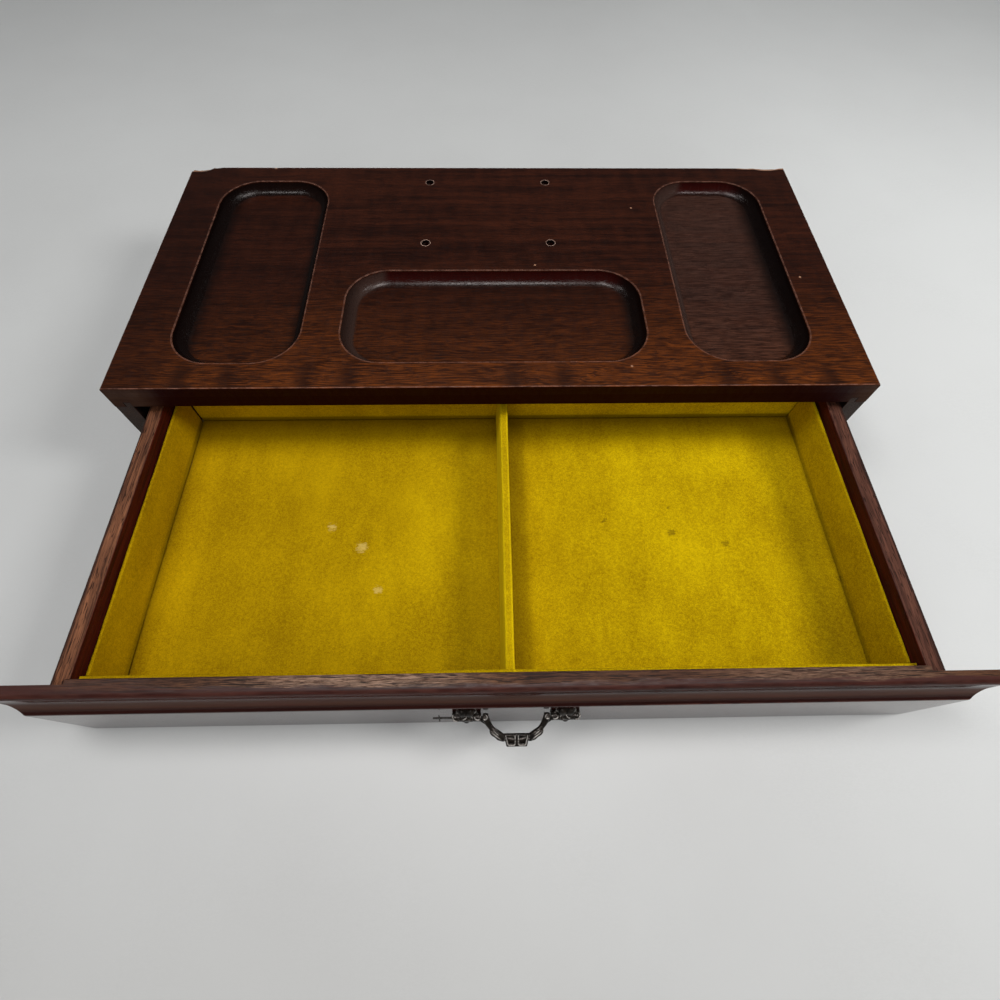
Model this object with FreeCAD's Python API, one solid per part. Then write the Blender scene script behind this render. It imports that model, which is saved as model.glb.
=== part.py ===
import FreeCAD, Part
import math
import os

# A valet box: a flat case whose top is carved with three trays, and a velvet-lined drawer
# behind a moulded front with a small cast bail pull.
# Millimetres. X to the right, Y to the back, Z up. The origin is the centre of the case's underside.
# The drawer is modelled as it stands open, and the bail as it rests on the toes of its posts.

Vector = FreeCAD.Vector
X_AXIS = Vector(1, 0, 0)
Y_AXIS = Vector(0, 1, 0)
Z_AXIS = Vector(0, 0, 1)
LEFT = -1
RIGHT = 1

# Case
case_width = 432.0
case_depth = 206.0
case_height = 80.0
top_thickness = 15.0
top_edge_round = 0.8
case_side_thickness = 10.3
case_tongue_width = 4.0
case_tongue_height = 3.6
case_back_thickness = 8.0
case_bottom_thickness = 8.0
case_rebate = 5.0
joint_gap = 0.1

# Trays carved into the top
tray_depth = 7.0
tray_cove_radius = 8.0
tray_corner_radius = 25.4
tray_front_margin = 18.5
tray_gap = 23.0
side_tray_width = 74.0
side_tray_margin = 28.5
side_tray_back_margin = 17.0
centre_tray_length = 76.5

# Four screw holes for an upright, at the back of the top
hole_radius = 2.3
hole_spacing_x = 82.3
hole_spacing_y = 66.0
hole_back_margin = 18.3
hole_shift = -3.0

# Drawer box
drawer_hold = 31.5
drawer_back_room = 14.8
drawer_rest_gap = 0.3
drawer_side_play = 3.2
drawer_shift = 2.2
drawer_head_room = 5.0
drawer_run_gap = 0.5
drawer_side_thickness = 8.3
drawer_tongue_width = 4.2
drawer_tongue_length = 4.0
drawer_back_thickness = 8.6
drawer_back_dado = 3.0
drawer_back_drop = 4.0
drawer_bottom_thickness = 4.0
drawer_bottom_raise = 10.5
bottom_groove_depth = 3.0

# Kicker strips that keep the open drawer from tipping
kicker_width = 12.0
kicker_clearance = 1.0
kicker_setback = 6.0

# Moulded drawer front
front_overlap = 12.5
front_lip_thickness = 6.2
front_field_rise = 4.9
front_inner_rise = 2.5
front_floor_gap = 1.0
front_head_gap = 2.0
nose_radius = 2.5
cove_radius = 12.7
arris_radius = 1.2

# Velvet-covered lining cards and divider
card_thickness = 2.5
card_drop = 7.3
card_gap = 0.2
divider_core = 3.0
divider_cover_top = 0.8
divider_cover_foot = 2.3
divider_drop = 6.0
divider_shift = 3.0

# Bail pull
handle_shift = 5.6
handle_drop = 23.0
post_spacing = 47.0
post_width = 14.4
post_height = 20.0
post_dome_radius = 6.0
post_beads = 8
post_bead_radius = 2.8
post_bead_lift = 0.5
post_drop = 3.5
pivot_rise = 2.6
knuckle_radius = 2.2
pin_radius = 0.6
pin_clearance = 0.05
pin_run_out = 8.6
pin_cross_setback = 3.0
pin_cross_length = 3.0
pin_cross_radius = 0.3
eye_radius = 2.1
eye_gap = 0.3
bail_rest_angle = 70.0
bail_reach = 10.3
bail_thickness = 3.0
leaf_radius = 2.4
leaf_angle = 34.5
block_height = 5.4
block_inner_width = 12.2
block_outer_width = 9.6
block_thickness = 3.2
block_rib_width = 1.2
block_panel_depth = 0.6
toe_stand_out = 5.6
toe_height = 1.6

# Screws and brads
screw_radius = 1.6
screw_clearance = 0.2
screw_head_radius = 3.6
screw_head_height = 1.8
screw_drop = 5.0
screw_grip = 3.8
screw_slot_width = 0.9
screw_slot_depth = 0.8
brad_radius = 0.8
brad_hold = 8.0
brad_long_margin = 22.0
brad_short_margin = 8.0
case_back_brads_per_side = 3
case_bottom_brads_per_side = 4
drawer_side_brads_per_side = 2
drawer_bottom_brads = 4

# Places in the case
case_front_y = -case_depth / 2
case_back_y = case_depth / 2
case_half_width = case_width / 2
case_inner_x = case_half_width - case_side_thickness
case_groove_x = case_inner_x + case_rebate - joint_gap
top_underside = case_height - top_thickness
back_inner_y = case_back_y - case_back_thickness

# Places in the drawer
drawer_half_width = case_inner_x - drawer_side_play
drawer_inner_x = drawer_half_width - drawer_side_thickness
drawer_length = back_inner_y - case_front_y - drawer_back_room + drawer_rest_gap
drawer_end_y = case_front_y + drawer_hold
drawer_top = top_underside - drawer_head_room
drawer_foot = case_bottom_thickness + drawer_run_gap
drawer_back_top = drawer_top - drawer_back_drop
drawer_back_y = drawer_end_y - drawer_back_thickness
front_back_y = drawer_end_y - drawer_length
inner_front_y = front_back_y + front_inner_rise
panel_low = drawer_foot + drawer_bottom_raise
panel_high = panel_low + drawer_bottom_thickness

# Places on the drawer front
front_half_width = case_half_width + front_overlap
front_low = front_floor_gap
front_high = top_underside - front_head_gap
lip_y = front_back_y - front_lip_thickness
field_y = lip_y - front_field_rise

# Places in the lining
card_top = drawer_top - card_drop
card_front_y = inner_front_y + card_thickness + card_gap
card_back_y = drawer_back_y - card_thickness - card_gap
divider_x = drawer_shift + divider_shift
divider_top = drawer_top - divider_drop
divider_foot_half = divider_core / 2 + divider_cover_foot
divider_top_half = divider_core / 2 + divider_cover_top

# Places on the pull
handle_x = drawer_shift + handle_shift
pivot_y = field_y - pivot_rise
pivot_z = front_high - handle_drop
post_inner = post_spacing / 2 - post_width / 2
post_outer = post_spacing / 2 + post_width / 2
arm_x = post_inner - eye_gap - bail_thickness / 2
bend_radius = (arm_x ** 2 + bail_reach ** 2) / (2 * bail_reach)
bend_centre_z = bend_radius - bail_reach
screw_z = pivot_z - screw_drop


def box(x0, x1, y0, y1, z0, z1):
    return Part.makeBox(x1 - x0, y1 - y0, z1 - z0, Vector(x0, y0, z0))


def span(side, near, far, y0, y1, z0, z1):
    """Box between two distances from the case's middle plane, on its left or its right."""
    return box(min(side * near, side * far), max(side * near, side * far), y0, y1, z0, z1)


def drawer_span(side, near, far, y0, y1, z0, z1):
    """The same, from the drawer's own middle plane."""
    return span(side, near, far, y0, y1, z0, z1).translated(Vector(drawer_shift, 0, 0))


def drawer_box(half, y0, y1, z0, z1):
    return box(drawer_shift - half, drawer_shift + half, y0, y1, z0, z1)


def rod(radius, start, direction, length):
    return Part.makeCylinder(radius, length, start, direction)


def lies_at(edge, height):
    return all(abs(vertex.Z - height) < 1e-6 for vertex in edge.Vertexes)


def is_upright(edge):
    low, high = edge.BoundBox.ZMin, edge.BoundBox.ZMax
    return abs(high - low - edge.Length) < 1e-6


def rounded(shape, radius, edges):
    return shape.makeFillet(radius, edges)


def evenly(first, last, count):
    if count == 1:
        return [(first + last) / 2]
    step = (last - first) / (count - 1)
    return [first + step * index for index in range(count)]


def tray_cutter(x_centre, width, length):
    """Rounded pocket with a coved foot, as a round-nosed cutter leaves it."""
    y_front = case_front_y + tray_front_margin
    low = case_height - tray_depth
    high = low + max(tray_depth, tray_cove_radius) + 1
    pocket = box(x_centre - width / 2, x_centre + width / 2, y_front, y_front + length, low, high)
    pocket = rounded(pocket, tray_corner_radius, [edge for edge in pocket.Edges if is_upright(edge)])
    return rounded(pocket, tray_cove_radius, [edge for edge in pocket.Edges if lies_at(edge, low)])


def tray_cutters():
    side_x = case_half_width - side_tray_margin - side_tray_width / 2
    side_length = case_depth - tray_front_margin - side_tray_back_margin
    centre_width = 2 * (side_x - side_tray_width / 2 - tray_gap)
    cutters = [tray_cutter(0, centre_width, centre_tray_length)]
    for side in (LEFT, RIGHT):
        cutters.append(tray_cutter(side * side_x, side_tray_width, side_length))
    return cutters


def upright_hole_cutters():
    y_back = case_back_y - hole_back_margin
    cutters = []
    for x in (hole_shift - hole_spacing_x / 2, hole_shift + hole_spacing_x / 2):
        for y in (y_back - hole_spacing_y, y_back):
            cutters.append(rod(hole_radius, Vector(x, y, top_underside - 1), Z_AXIS, top_thickness + 2))
    return cutters


def top_board():
    board = box(-case_half_width, case_half_width, case_front_y, case_back_y, top_underside, case_height)
    board = rounded(board, top_edge_round, [edge for edge in board.Edges if lies_at(edge, case_height)])
    cutters = tray_cutters() + upright_hole_cutters()
    for side in (LEFT, RIGHT):
        cutters.append(span(side, case_inner_x, case_inner_x + case_tongue_width + joint_gap, case_front_y - 1,
                            case_back_y + 1, top_underside - 1, top_underside + case_tongue_height + joint_gap))
    return board.cut(cutters)


def case_side(side):
    """Side board with a tongue for the top, and rebates for the back and the bottom."""
    board = span(side, case_inner_x, case_half_width, case_front_y, case_back_y, 0, top_underside)
    tongue = span(side, case_inner_x, case_inner_x + case_tongue_width, case_front_y, case_back_y,
                  top_underside, top_underside + case_tongue_height)
    back_rebate = span(side, case_inner_x - 1, case_inner_x + case_rebate, back_inner_y, case_back_y + 1,
                       -1, top_underside)
    foot_rebate = span(side, case_inner_x - 1, case_inner_x + case_rebate, case_front_y - 1, case_back_y + 1,
                       -1, case_bottom_thickness)
    board = board.cut([back_rebate, foot_rebate]).fuse(tongue).removeSplitter()
    return board.cut(case_back_brads() + case_bottom_brads())


def case_back():
    panel = box(-case_groove_x, case_groove_x, back_inner_y, case_back_y, case_bottom_thickness, top_underside)
    return panel.cut(case_back_brads())


def case_bottom():
    panel = box(-case_groove_x, case_groove_x, case_front_y, case_back_y, 0, case_bottom_thickness)
    return panel.cut(case_bottom_brads())


def case_back_brads():
    start_y = back_inner_y - brad_hold
    heights = evenly(case_bottom_thickness + brad_short_margin, top_underside - brad_short_margin,
                     case_back_brads_per_side)
    brads = []
    for side in (LEFT, RIGHT):
        x = side * (case_inner_x + case_rebate / 2)
        brads += [rod(brad_radius, Vector(x, start_y, z), Y_AXIS, case_back_y - start_y) for z in heights]
    return brads


def case_bottom_brads():
    places = evenly(case_front_y + brad_long_margin, back_inner_y - brad_long_margin, case_bottom_brads_per_side)
    brads = []
    for side in (LEFT, RIGHT):
        x = side * (case_inner_x + case_rebate / 2)
        brads += [rod(brad_radius, Vector(x, y, 0), Z_AXIS, case_bottom_thickness + brad_hold) for y in places]
    return brads


def kicker(side):
    return span(side, case_inner_x - kicker_width, case_inner_x, case_front_y + kicker_setback, back_inner_y,
                drawer_top + kicker_clearance, top_underside)


def line(start, end):
    return Part.LineSegment(start, end).toShape()


def arc(start, middle, end):
    return Part.Arc(start, middle, end).toShape()


def middle_of_arc(centre, radius, start, end):
    """Point halfway along the short arc between two points of a circle, in the section's plane."""
    across = (start[0] + end[0]) / 2 - centre[0]
    up = (start[1] + end[1]) / 2 - centre[1]
    reach = radius / math.hypot(across, up)
    return centre[0] + across * reach, centre[1] + up * reach


def moulded_edges(place):
    """Nose, cove and rounded arris of the moulding.

    Points are (distance in from the board's edge, rise above the lip), and place sets them
    out in space. The cove springs from the nose, and the arris touches cove and field alike.
    """
    nose_centre = (nose_radius, -nose_radius)
    cove_centre = (nose_radius, cove_radius)
    arris_rise = front_field_rise - arris_radius
    arris_run = math.sqrt((cove_radius + arris_radius) ** 2 - (cove_radius - arris_rise) ** 2)
    arris_centre = (nose_radius + arris_run, arris_rise)
    share = cove_radius / (cove_radius + arris_radius)
    edge_start = (0, -nose_radius)
    cove_start = (nose_radius, 0)
    arris_start = (cove_centre[0] + (arris_centre[0] - cove_centre[0]) * share,
                   cove_centre[1] + (arris_centre[1] - cove_centre[1]) * share)
    field_start = (arris_centre[0], front_field_rise)
    arcs = ((nose_centre, nose_radius, edge_start, cove_start),
            (cove_centre, cove_radius, cove_start, arris_start),
            (arris_centre, arris_radius, arris_start, field_start))
    edges = []
    for centre, radius, start, end in arcs:
        middle = middle_of_arc(centre, radius, start, end)
        edges.append(arc(place(*start), place(*middle), place(*end)))
    return edges, field_start


def closed_face(edges):
    return Part.Face(Part.Wire(Part.__sortEdges__(edges)))


def moulded_plank():
    """Front board with one moulding along its top and both ends, mitred where they meet."""
    left_x = drawer_shift - front_half_width
    right_x = drawer_shift + front_half_width
    height = front_high - front_low

    def on_top(inward, rise):
        return Vector(left_x, lip_y - rise, front_high - inward)

    def on_left(inward, rise):
        return Vector(left_x + inward, lip_y - rise, front_low)

    def on_right(inward, rise):
        return Vector(right_x - inward, lip_y - rise, front_low)

    top_edges, field_start = moulded_edges(on_top)
    corners = [on_top(*field_start), on_top(height, front_field_rise), on_top(height, -front_lip_thickness),
               on_top(0, -front_lip_thickness), on_top(0, -nose_radius)]
    top_edges += [line(start, end) for start, end in zip(corners, corners[1:])]
    long_bar = closed_face(top_edges).extrude(Vector(2 * front_half_width, 0, 0))

    end_edges = moulded_edges(on_left)[0] + moulded_edges(on_right)[0]
    end_edges.append(line(on_left(*field_start), on_right(*field_start)))
    corners = [on_left(0, -nose_radius), on_left(0, -front_lip_thickness), on_right(0, -front_lip_thickness),
               on_right(0, -nose_radius)]
    end_edges += [line(start, end) for start, end in zip(corners, corners[1:])]
    tall_bar = closed_face(end_edges).extrude(Vector(0, 0, height))
    return long_bar.common(tall_bar)


def drawer_front():
    """Moulded plank, thicker between the drawer sides, grooved for them and for the bottom."""
    inner = drawer_box(drawer_inner_x, front_back_y, inner_front_y, drawer_foot, front_high)
    board = moulded_plank().fuse(inner).removeSplitter()
    cutters = [drawer_box(drawer_inner_x + bottom_groove_depth, inner_front_y - bottom_groove_depth,
                          inner_front_y + 1, panel_low, panel_high)]
    for side in (LEFT, RIGHT):
        cutters.append(drawer_tongue(side, joint_gap))
        cutters.append(screw_bore(side))
    return board.cut(cutters)


def drawer_tongue(side, spare):
    """Tongue on the inner half of a drawer side's front end. A spare makes it the groove instead."""
    return drawer_span(side, drawer_inner_x, drawer_inner_x + drawer_tongue_width + spare,
                       front_back_y - drawer_tongue_length - spare, front_back_y, drawer_foot, drawer_top)


def drawer_side(side):
    board = drawer_span(side, drawer_inner_x, drawer_half_width, front_back_y, drawer_end_y,
                        drawer_foot, drawer_top)
    board = board.fuse(drawer_tongue(side, 0)).removeSplitter()
    panel_groove = drawer_span(side, drawer_inner_x - 1, drawer_inner_x + bottom_groove_depth,
                               front_back_y - drawer_tongue_length - 1, drawer_end_y + 1, panel_low, panel_high)
    dado = drawer_span(side, drawer_inner_x - 1, drawer_inner_x + drawer_back_dado, drawer_back_y,
                       drawer_end_y + 1, panel_high, drawer_top + 1)
    return board.cut([panel_groove, dado] + drawer_side_brads())


def drawer_back():
    board = drawer_box(drawer_inner_x + drawer_back_dado - joint_gap, drawer_back_y, drawer_end_y,
                       panel_high, drawer_back_top)
    return board.cut(drawer_side_brads() + drawer_bottom_brad_row())


def drawer_bottom():
    reach = bottom_groove_depth - joint_gap
    panel = drawer_box(drawer_inner_x + reach, inner_front_y - reach, drawer_end_y, panel_low, panel_high)
    return panel.cut(drawer_bottom_brad_row())


def drawer_side_brads():
    """Brads through the drawer sides into the ends of the drawer back."""
    y = drawer_end_y - drawer_back_thickness / 2
    length = drawer_side_thickness + brad_hold
    heights = evenly(panel_high + brad_short_margin, drawer_back_top - brad_short_margin,
                     drawer_side_brads_per_side)
    brads = []
    for side in (LEFT, RIGHT):
        x = drawer_shift + side * drawer_half_width
        brads += [rod(brad_radius, Vector(x, y, z), X_AXIS * -side, length) for z in heights]
    return brads


def drawer_bottom_brad_row():
    """Brads up through the bottom panel into the drawer back."""
    y = drawer_end_y - drawer_back_thickness / 2
    reach = drawer_inner_x - brad_long_margin
    places = evenly(drawer_shift - reach, drawer_shift + reach, drawer_bottom_brads)
    length = drawer_bottom_thickness + brad_hold
    return [rod(brad_radius, Vector(x, y, panel_low), Z_AXIS, length) for x in places]


def lining_side(side):
    return drawer_span(side, drawer_inner_x - card_thickness, drawer_inner_x, card_front_y, card_back_y,
                       panel_high, card_top)


def lining_front():
    return drawer_box(drawer_inner_x - card_gap, inner_front_y, inner_front_y + card_thickness,
                      panel_high, card_top)


def lining_back():
    return drawer_box(drawer_inner_x - card_gap, drawer_back_y - card_thickness, drawer_back_y,
                      panel_high, card_top)


def lining_floor(side):
    """Floor card of one compartment, from the side card to the foot of the divider."""
    outer = drawer_shift + side * (drawer_inner_x - card_thickness - card_gap)
    inner = divider_x + side * (divider_foot_half + card_gap)
    return box(min(outer, inner), max(outer, inner), card_front_y, card_back_y,
               panel_high, panel_high + card_thickness)


def divider_board():
    return box(divider_x - divider_core / 2, divider_x + divider_core / 2, card_front_y, card_back_y,
               panel_high, divider_top - divider_cover_top)


def divider_cover():
    """Velvet folded over the divider board, wider at the foot than at the top."""
    corners = [Vector(divider_x - divider_foot_half, card_front_y, panel_high),
               Vector(divider_x + divider_foot_half, card_front_y, panel_high),
               Vector(divider_x + divider_top_half, card_front_y, divider_top),
               Vector(divider_x - divider_top_half, card_front_y, divider_top)]
    fold = Part.Face(Part.makePolygon(corners + corners[:1])).extrude(Vector(0, card_back_y - card_front_y, 0))
    long_top = [edge for edge in fold.Edges if lies_at(edge, divider_top) and edge.Length > 3 * divider_top_half]
    return rounded(fold, divider_cover_top, long_top).cut(divider_board())


def post_x(side):
    return handle_x + side * post_spacing / 2


def screw_bore(side):
    """Clearance hole through the front, with a pocket for the head on the inside."""
    x = post_x(side)
    shank = rod(screw_radius + screw_clearance, Vector(x, field_y - 1, screw_z), Y_AXIS, inner_front_y - field_y + 2)
    pocket = rod(screw_head_radius + screw_clearance, Vector(x, inner_front_y - screw_head_height, screw_z),
                 Y_AXIS, screw_head_height + 1)
    return shank.fuse(pocket)


def handle_screw(side):
    """Slotted machine screw, its head let into the inner face and its end in the post."""
    x = post_x(side)
    start_y = field_y - screw_grip
    head_y = inner_front_y - screw_head_height
    shank = rod(screw_radius, Vector(x, start_y, screw_z), Y_AXIS, head_y - start_y)
    head = rod(screw_head_radius, Vector(x, head_y, screw_z), Y_AXIS, screw_head_height)
    slot = box(x - screw_head_radius - 1, x + screw_head_radius + 1, inner_front_y - screw_slot_depth,
               inner_front_y + 1, screw_z - screw_slot_width / 2, screw_z + screw_slot_width / 2)
    return shank.fuse(head).removeSplitter().cut(slot)


def handle_post(side):
    """Cast post: a ring of beads round a dome, a knuckle for the pin and a toe under the bail arm.

    It is drawn with the pivot's height and the board's face at zero, and then set in place.
    """
    centre_z = -post_drop
    rosette = [Part.makeSphere(post_dome_radius, Vector(0, 0, centre_z))]
    for index in range(post_beads):
        angle = 2 * math.pi * (index + 0.5) / post_beads
        bead_x = (post_width / 2 - post_bead_radius) * math.cos(angle)
        bead_z = (post_height / 2 - post_bead_radius) * math.sin(angle)
        rosette.append(Part.makeSphere(post_bead_radius, Vector(bead_x, -post_bead_lift, centre_z + bead_z)))
    knuckle = rod(knuckle_radius, Vector(-post_width / 2, -pivot_rise, 0), X_AXIS, post_width)
    lean = math.radians(bail_rest_angle)
    toe_drop = (toe_stand_out - pivot_rise) / math.tan(lean) + bail_thickness / 2 / math.sin(lean) + eye_gap
    toe_reach = post_width / 2 + eye_gap + bail_thickness
    toe = span(-side, 0, toe_reach, -toe_stand_out, 0, -toe_drop - toe_height, -toe_drop)
    in_front = box(-2 * post_width, 2 * post_width, -post_height, 0, centre_z - post_height, centre_z + post_height)
    body = rosette[0].fuse(rosette[1:] + [knuckle, toe]).common(in_front).removeSplitter()
    pin_bore = rod(pin_radius, Vector(-post_width, -pivot_rise, 0), X_AXIS, 2 * post_width)
    thread = rod(screw_radius, Vector(0, -screw_grip, -screw_drop), Y_AXIS, screw_grip + 1)
    return body.cut([pin_bore, thread]).translated(Vector(post_x(side), field_y, pivot_z))


def pivot_pin(side):
    """Pin through a post and an eye of the bail. The left one stands out and ends in a small cross."""
    start = side * (arm_x - bail_thickness / 2)
    length = post_outer - arm_x + bail_thickness / 2
    if side == LEFT:
        length += pin_run_out
    pin = rod(pin_radius, Vector(start, 0, 0), X_AXIS * side, length)
    if side == LEFT:
        cross = Vector(start + side * (length - pin_cross_setback), 0, 0)
        bars = [rod(pin_cross_radius, cross - axis * (pin_cross_length / 2), axis, pin_cross_length)
                for axis in (Y_AXIS, Z_AXIS)]
        pin = pin.fuse(bars).removeSplitter()
    return pin.translated(Vector(handle_x, pivot_y, pivot_z))


def bail_block():
    """Grip in the middle of the bail: a tapered block with two sunk panels between three ribs."""
    high = block_height / 2 - bail_reach
    low = high - block_height
    front_y = -block_thickness / 2
    corners = [Vector(-block_inner_width / 2, -front_y, high), Vector(block_inner_width / 2, -front_y, high),
               Vector(block_outer_width / 2, -front_y, low), Vector(-block_outer_width / 2, -front_y, low)]
    block = Part.Face(Part.makePolygon(corners + corners[:1])).extrude(Vector(0, -block_thickness, 0))
    near = block_rib_width / 2
    far = block_outer_width / 2 - block_rib_width
    panels = [span(side, near, far, front_y - 1, front_y + block_panel_depth,
                   low + block_rib_width, high - block_rib_width) for side in (LEFT, RIGHT)]
    return block.cut(panels)


def bail():
    """Cast bail, drawn as it hangs straight down from its axis, then swung out and set in place.

    Its middle line is one arc through both eyes and the middle of the grip.
    """
    radius = bail_thickness / 2
    bend = Part.makeTorus(bend_radius, radius, Vector(0, 0, bend_centre_z), Y_AXIS)
    below = box(-2 * arm_x, 2 * arm_x, -arm_x, arm_x, -2 * bail_reach, 0)
    turn = math.radians(leaf_angle)
    pieces = [bail_block()]
    for side in (LEFT, RIGHT):
        pieces.append(rod(eye_radius, Vector(side * arm_x - radius, 0, 0), X_AXIS, bail_thickness))
        leaf = Vector(side * bend_radius * math.sin(turn), 0, bend_centre_z - bend_radius * math.cos(turn))
        along_arm = Vector(side * math.cos(turn), 0, math.sin(turn))
        pieces.append(Part.makeSphere(leaf_radius, leaf, along_arm))
    body = bend.common(below).fuse(pieces).removeSplitter()
    body = body.cut(rod(pin_radius + pin_clearance, Vector(-2 * arm_x, 0, 0), X_AXIS, 4 * arm_x))
    body.rotate(Vector(0, 0, 0), X_AXIS, -bail_rest_angle)
    return body.translated(Vector(handle_x, pivot_y, pivot_z))


def save(name, shape):
    """Write one node, a single solid or a group of alike solids."""
    if len(shape.Solids) == 1:
        shape = shape.Solids[0]
    shape.exportStep("parts/" + name + ".step")
    print(name, len(shape.Solids), round(shape.Volume, 1))


def main():
    os.makedirs("parts", exist_ok=True)
    save("top_board", top_board())
    save("case_back", case_back())
    save("case_bottom", case_bottom())
    save("case_back_brads", Part.makeCompound(case_back_brads()))
    save("case_bottom_brads", Part.makeCompound(case_bottom_brads()))
    save("drawer_front", drawer_front())
    save("drawer_back", drawer_back())
    save("drawer_bottom", drawer_bottom())
    save("drawer_brads", Part.makeCompound(drawer_side_brads() + drawer_bottom_brad_row()))
    save("lining_front", lining_front())
    save("lining_back", lining_back())
    save("divider_board", divider_board())
    save("divider_cover", divider_cover())
    save("bail", bail())
    save("handle_screws", Part.makeCompound([handle_screw(side) for side in (LEFT, RIGHT)]))
    for side, word in ((LEFT, "left"), (RIGHT, "right")):
        save("case_side_" + word, case_side(side))
        save("kicker_" + word, kicker(side))
        save("drawer_side_" + word, drawer_side(side))
        save("lining_side_" + word, lining_side(side))
        save("lining_floor_" + word, lining_floor(side))
        save("handle_post_" + word, handle_post(side))
        save("pivot_pin_" + word, pivot_pin(side))


main()
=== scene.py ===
"""Looks of a velvet-lined valet box with a carved top and one open drawer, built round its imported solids."""
import logging
import math
from contextlib import contextmanager
from dataclasses import dataclass, field
from enum import Enum
from typing import Any, Callable, Iterator, Sequence

import bmesh
import bpy
from mathutils import Matrix, Vector


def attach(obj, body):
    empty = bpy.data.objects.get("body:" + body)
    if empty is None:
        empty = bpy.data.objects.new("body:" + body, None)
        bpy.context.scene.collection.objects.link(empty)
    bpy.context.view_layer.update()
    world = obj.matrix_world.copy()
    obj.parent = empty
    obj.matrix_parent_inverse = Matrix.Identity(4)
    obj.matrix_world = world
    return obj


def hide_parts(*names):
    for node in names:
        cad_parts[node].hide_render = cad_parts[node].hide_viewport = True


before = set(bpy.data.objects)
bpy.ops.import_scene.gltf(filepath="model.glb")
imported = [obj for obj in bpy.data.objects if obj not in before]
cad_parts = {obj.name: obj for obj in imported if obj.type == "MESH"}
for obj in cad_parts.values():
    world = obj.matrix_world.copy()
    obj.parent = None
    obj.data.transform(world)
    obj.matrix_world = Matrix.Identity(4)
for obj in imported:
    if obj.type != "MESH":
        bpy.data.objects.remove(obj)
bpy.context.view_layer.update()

MM = 0.001
Point = tuple[float, float, float]
Colour = tuple[float, float, float]
Piece = bpy.types.Object
log = logging.getLogger("valet_box")


class Grain(Enum):
    """Direction in which a board's fibres run."""

    ACROSS_THE_BOX = (1, 0, 0)
    FRONT_TO_BACK = (0, 1, 0)


class Pick(Enum):
    """What a selection in edit mode is made of."""

    POINTS = "VERT"
    EDGES = "EDGE"
    FACES = "FACE"


class Side(Enum):
    """Left or right half of the box, as seen from the drawer front."""

    LEFT = -1
    RIGHT = 1

    @property
    def word(self) -> str:
        """Name of the side as the solids' names spell it."""
        return self.name.lower()


# ---- shader maths ----


class Signal:
    """A number, vector or colour that runs between shader nodes. Its operators add Math nodes."""

    def __init__(self, graph: "Graph", socket: bpy.types.NodeSocket) -> None:
        """Wrap one output socket of a graph."""
        self.graph = graph
        self.socket = socket

    def __add__(self, other: "Signal | float") -> "Signal":
        """Sum."""
        return self.graph.math("ADD", self, other)

    def __radd__(self, other: float) -> "Signal":
        """Sum, number first."""
        return self.graph.math("ADD", other, self)

    def __sub__(self, other: "Signal | float") -> "Signal":
        """Difference."""
        return self.graph.math("SUBTRACT", self, other)

    def __rsub__(self, other: float) -> "Signal":
        """Difference, number first."""
        return self.graph.math("SUBTRACT", other, self)

    def __mul__(self, other: "Signal | float") -> "Signal":
        """Product."""
        return self.graph.math("MULTIPLY", self, other)

    def __rmul__(self, other: float) -> "Signal":
        """Product, number first."""
        return self.graph.math("MULTIPLY", other, self)

    def __truediv__(self, other: "Signal | float") -> "Signal":
        """Quotient."""
        return self.graph.math("DIVIDE", self, other)

    def __abs__(self) -> "Signal":
        """Size without sign."""
        return self.graph.math("ABSOLUTE", self)

    def above(self, edge: float, soft: float) -> "Signal":
        """Smooth mask that is 1 where the value is above an edge.

        Args:
            edge: Value in the middle of the change.
            soft: Half the width of the change.

        Returns:
            The mask.
        """
        settings = {"interpolation_type": "SMOOTHSTEP"}
        values = {"Value": self, "From Min": edge - soft, "From Max": edge + soft}
        return self.graph.node("ShaderNodeMapRange", settings, values)

    def below(self, edge: float, soft: float) -> "Signal":
        """Smooth mask that is 1 where the value is below an edge."""
        return 1 - self.above(edge, soft)

    def between(self, low: float, high: float, soft: float) -> "Signal":
        """Smooth mask that is 1 between two edges."""
        return self.above(low, soft) * self.below(high, soft)


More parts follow.
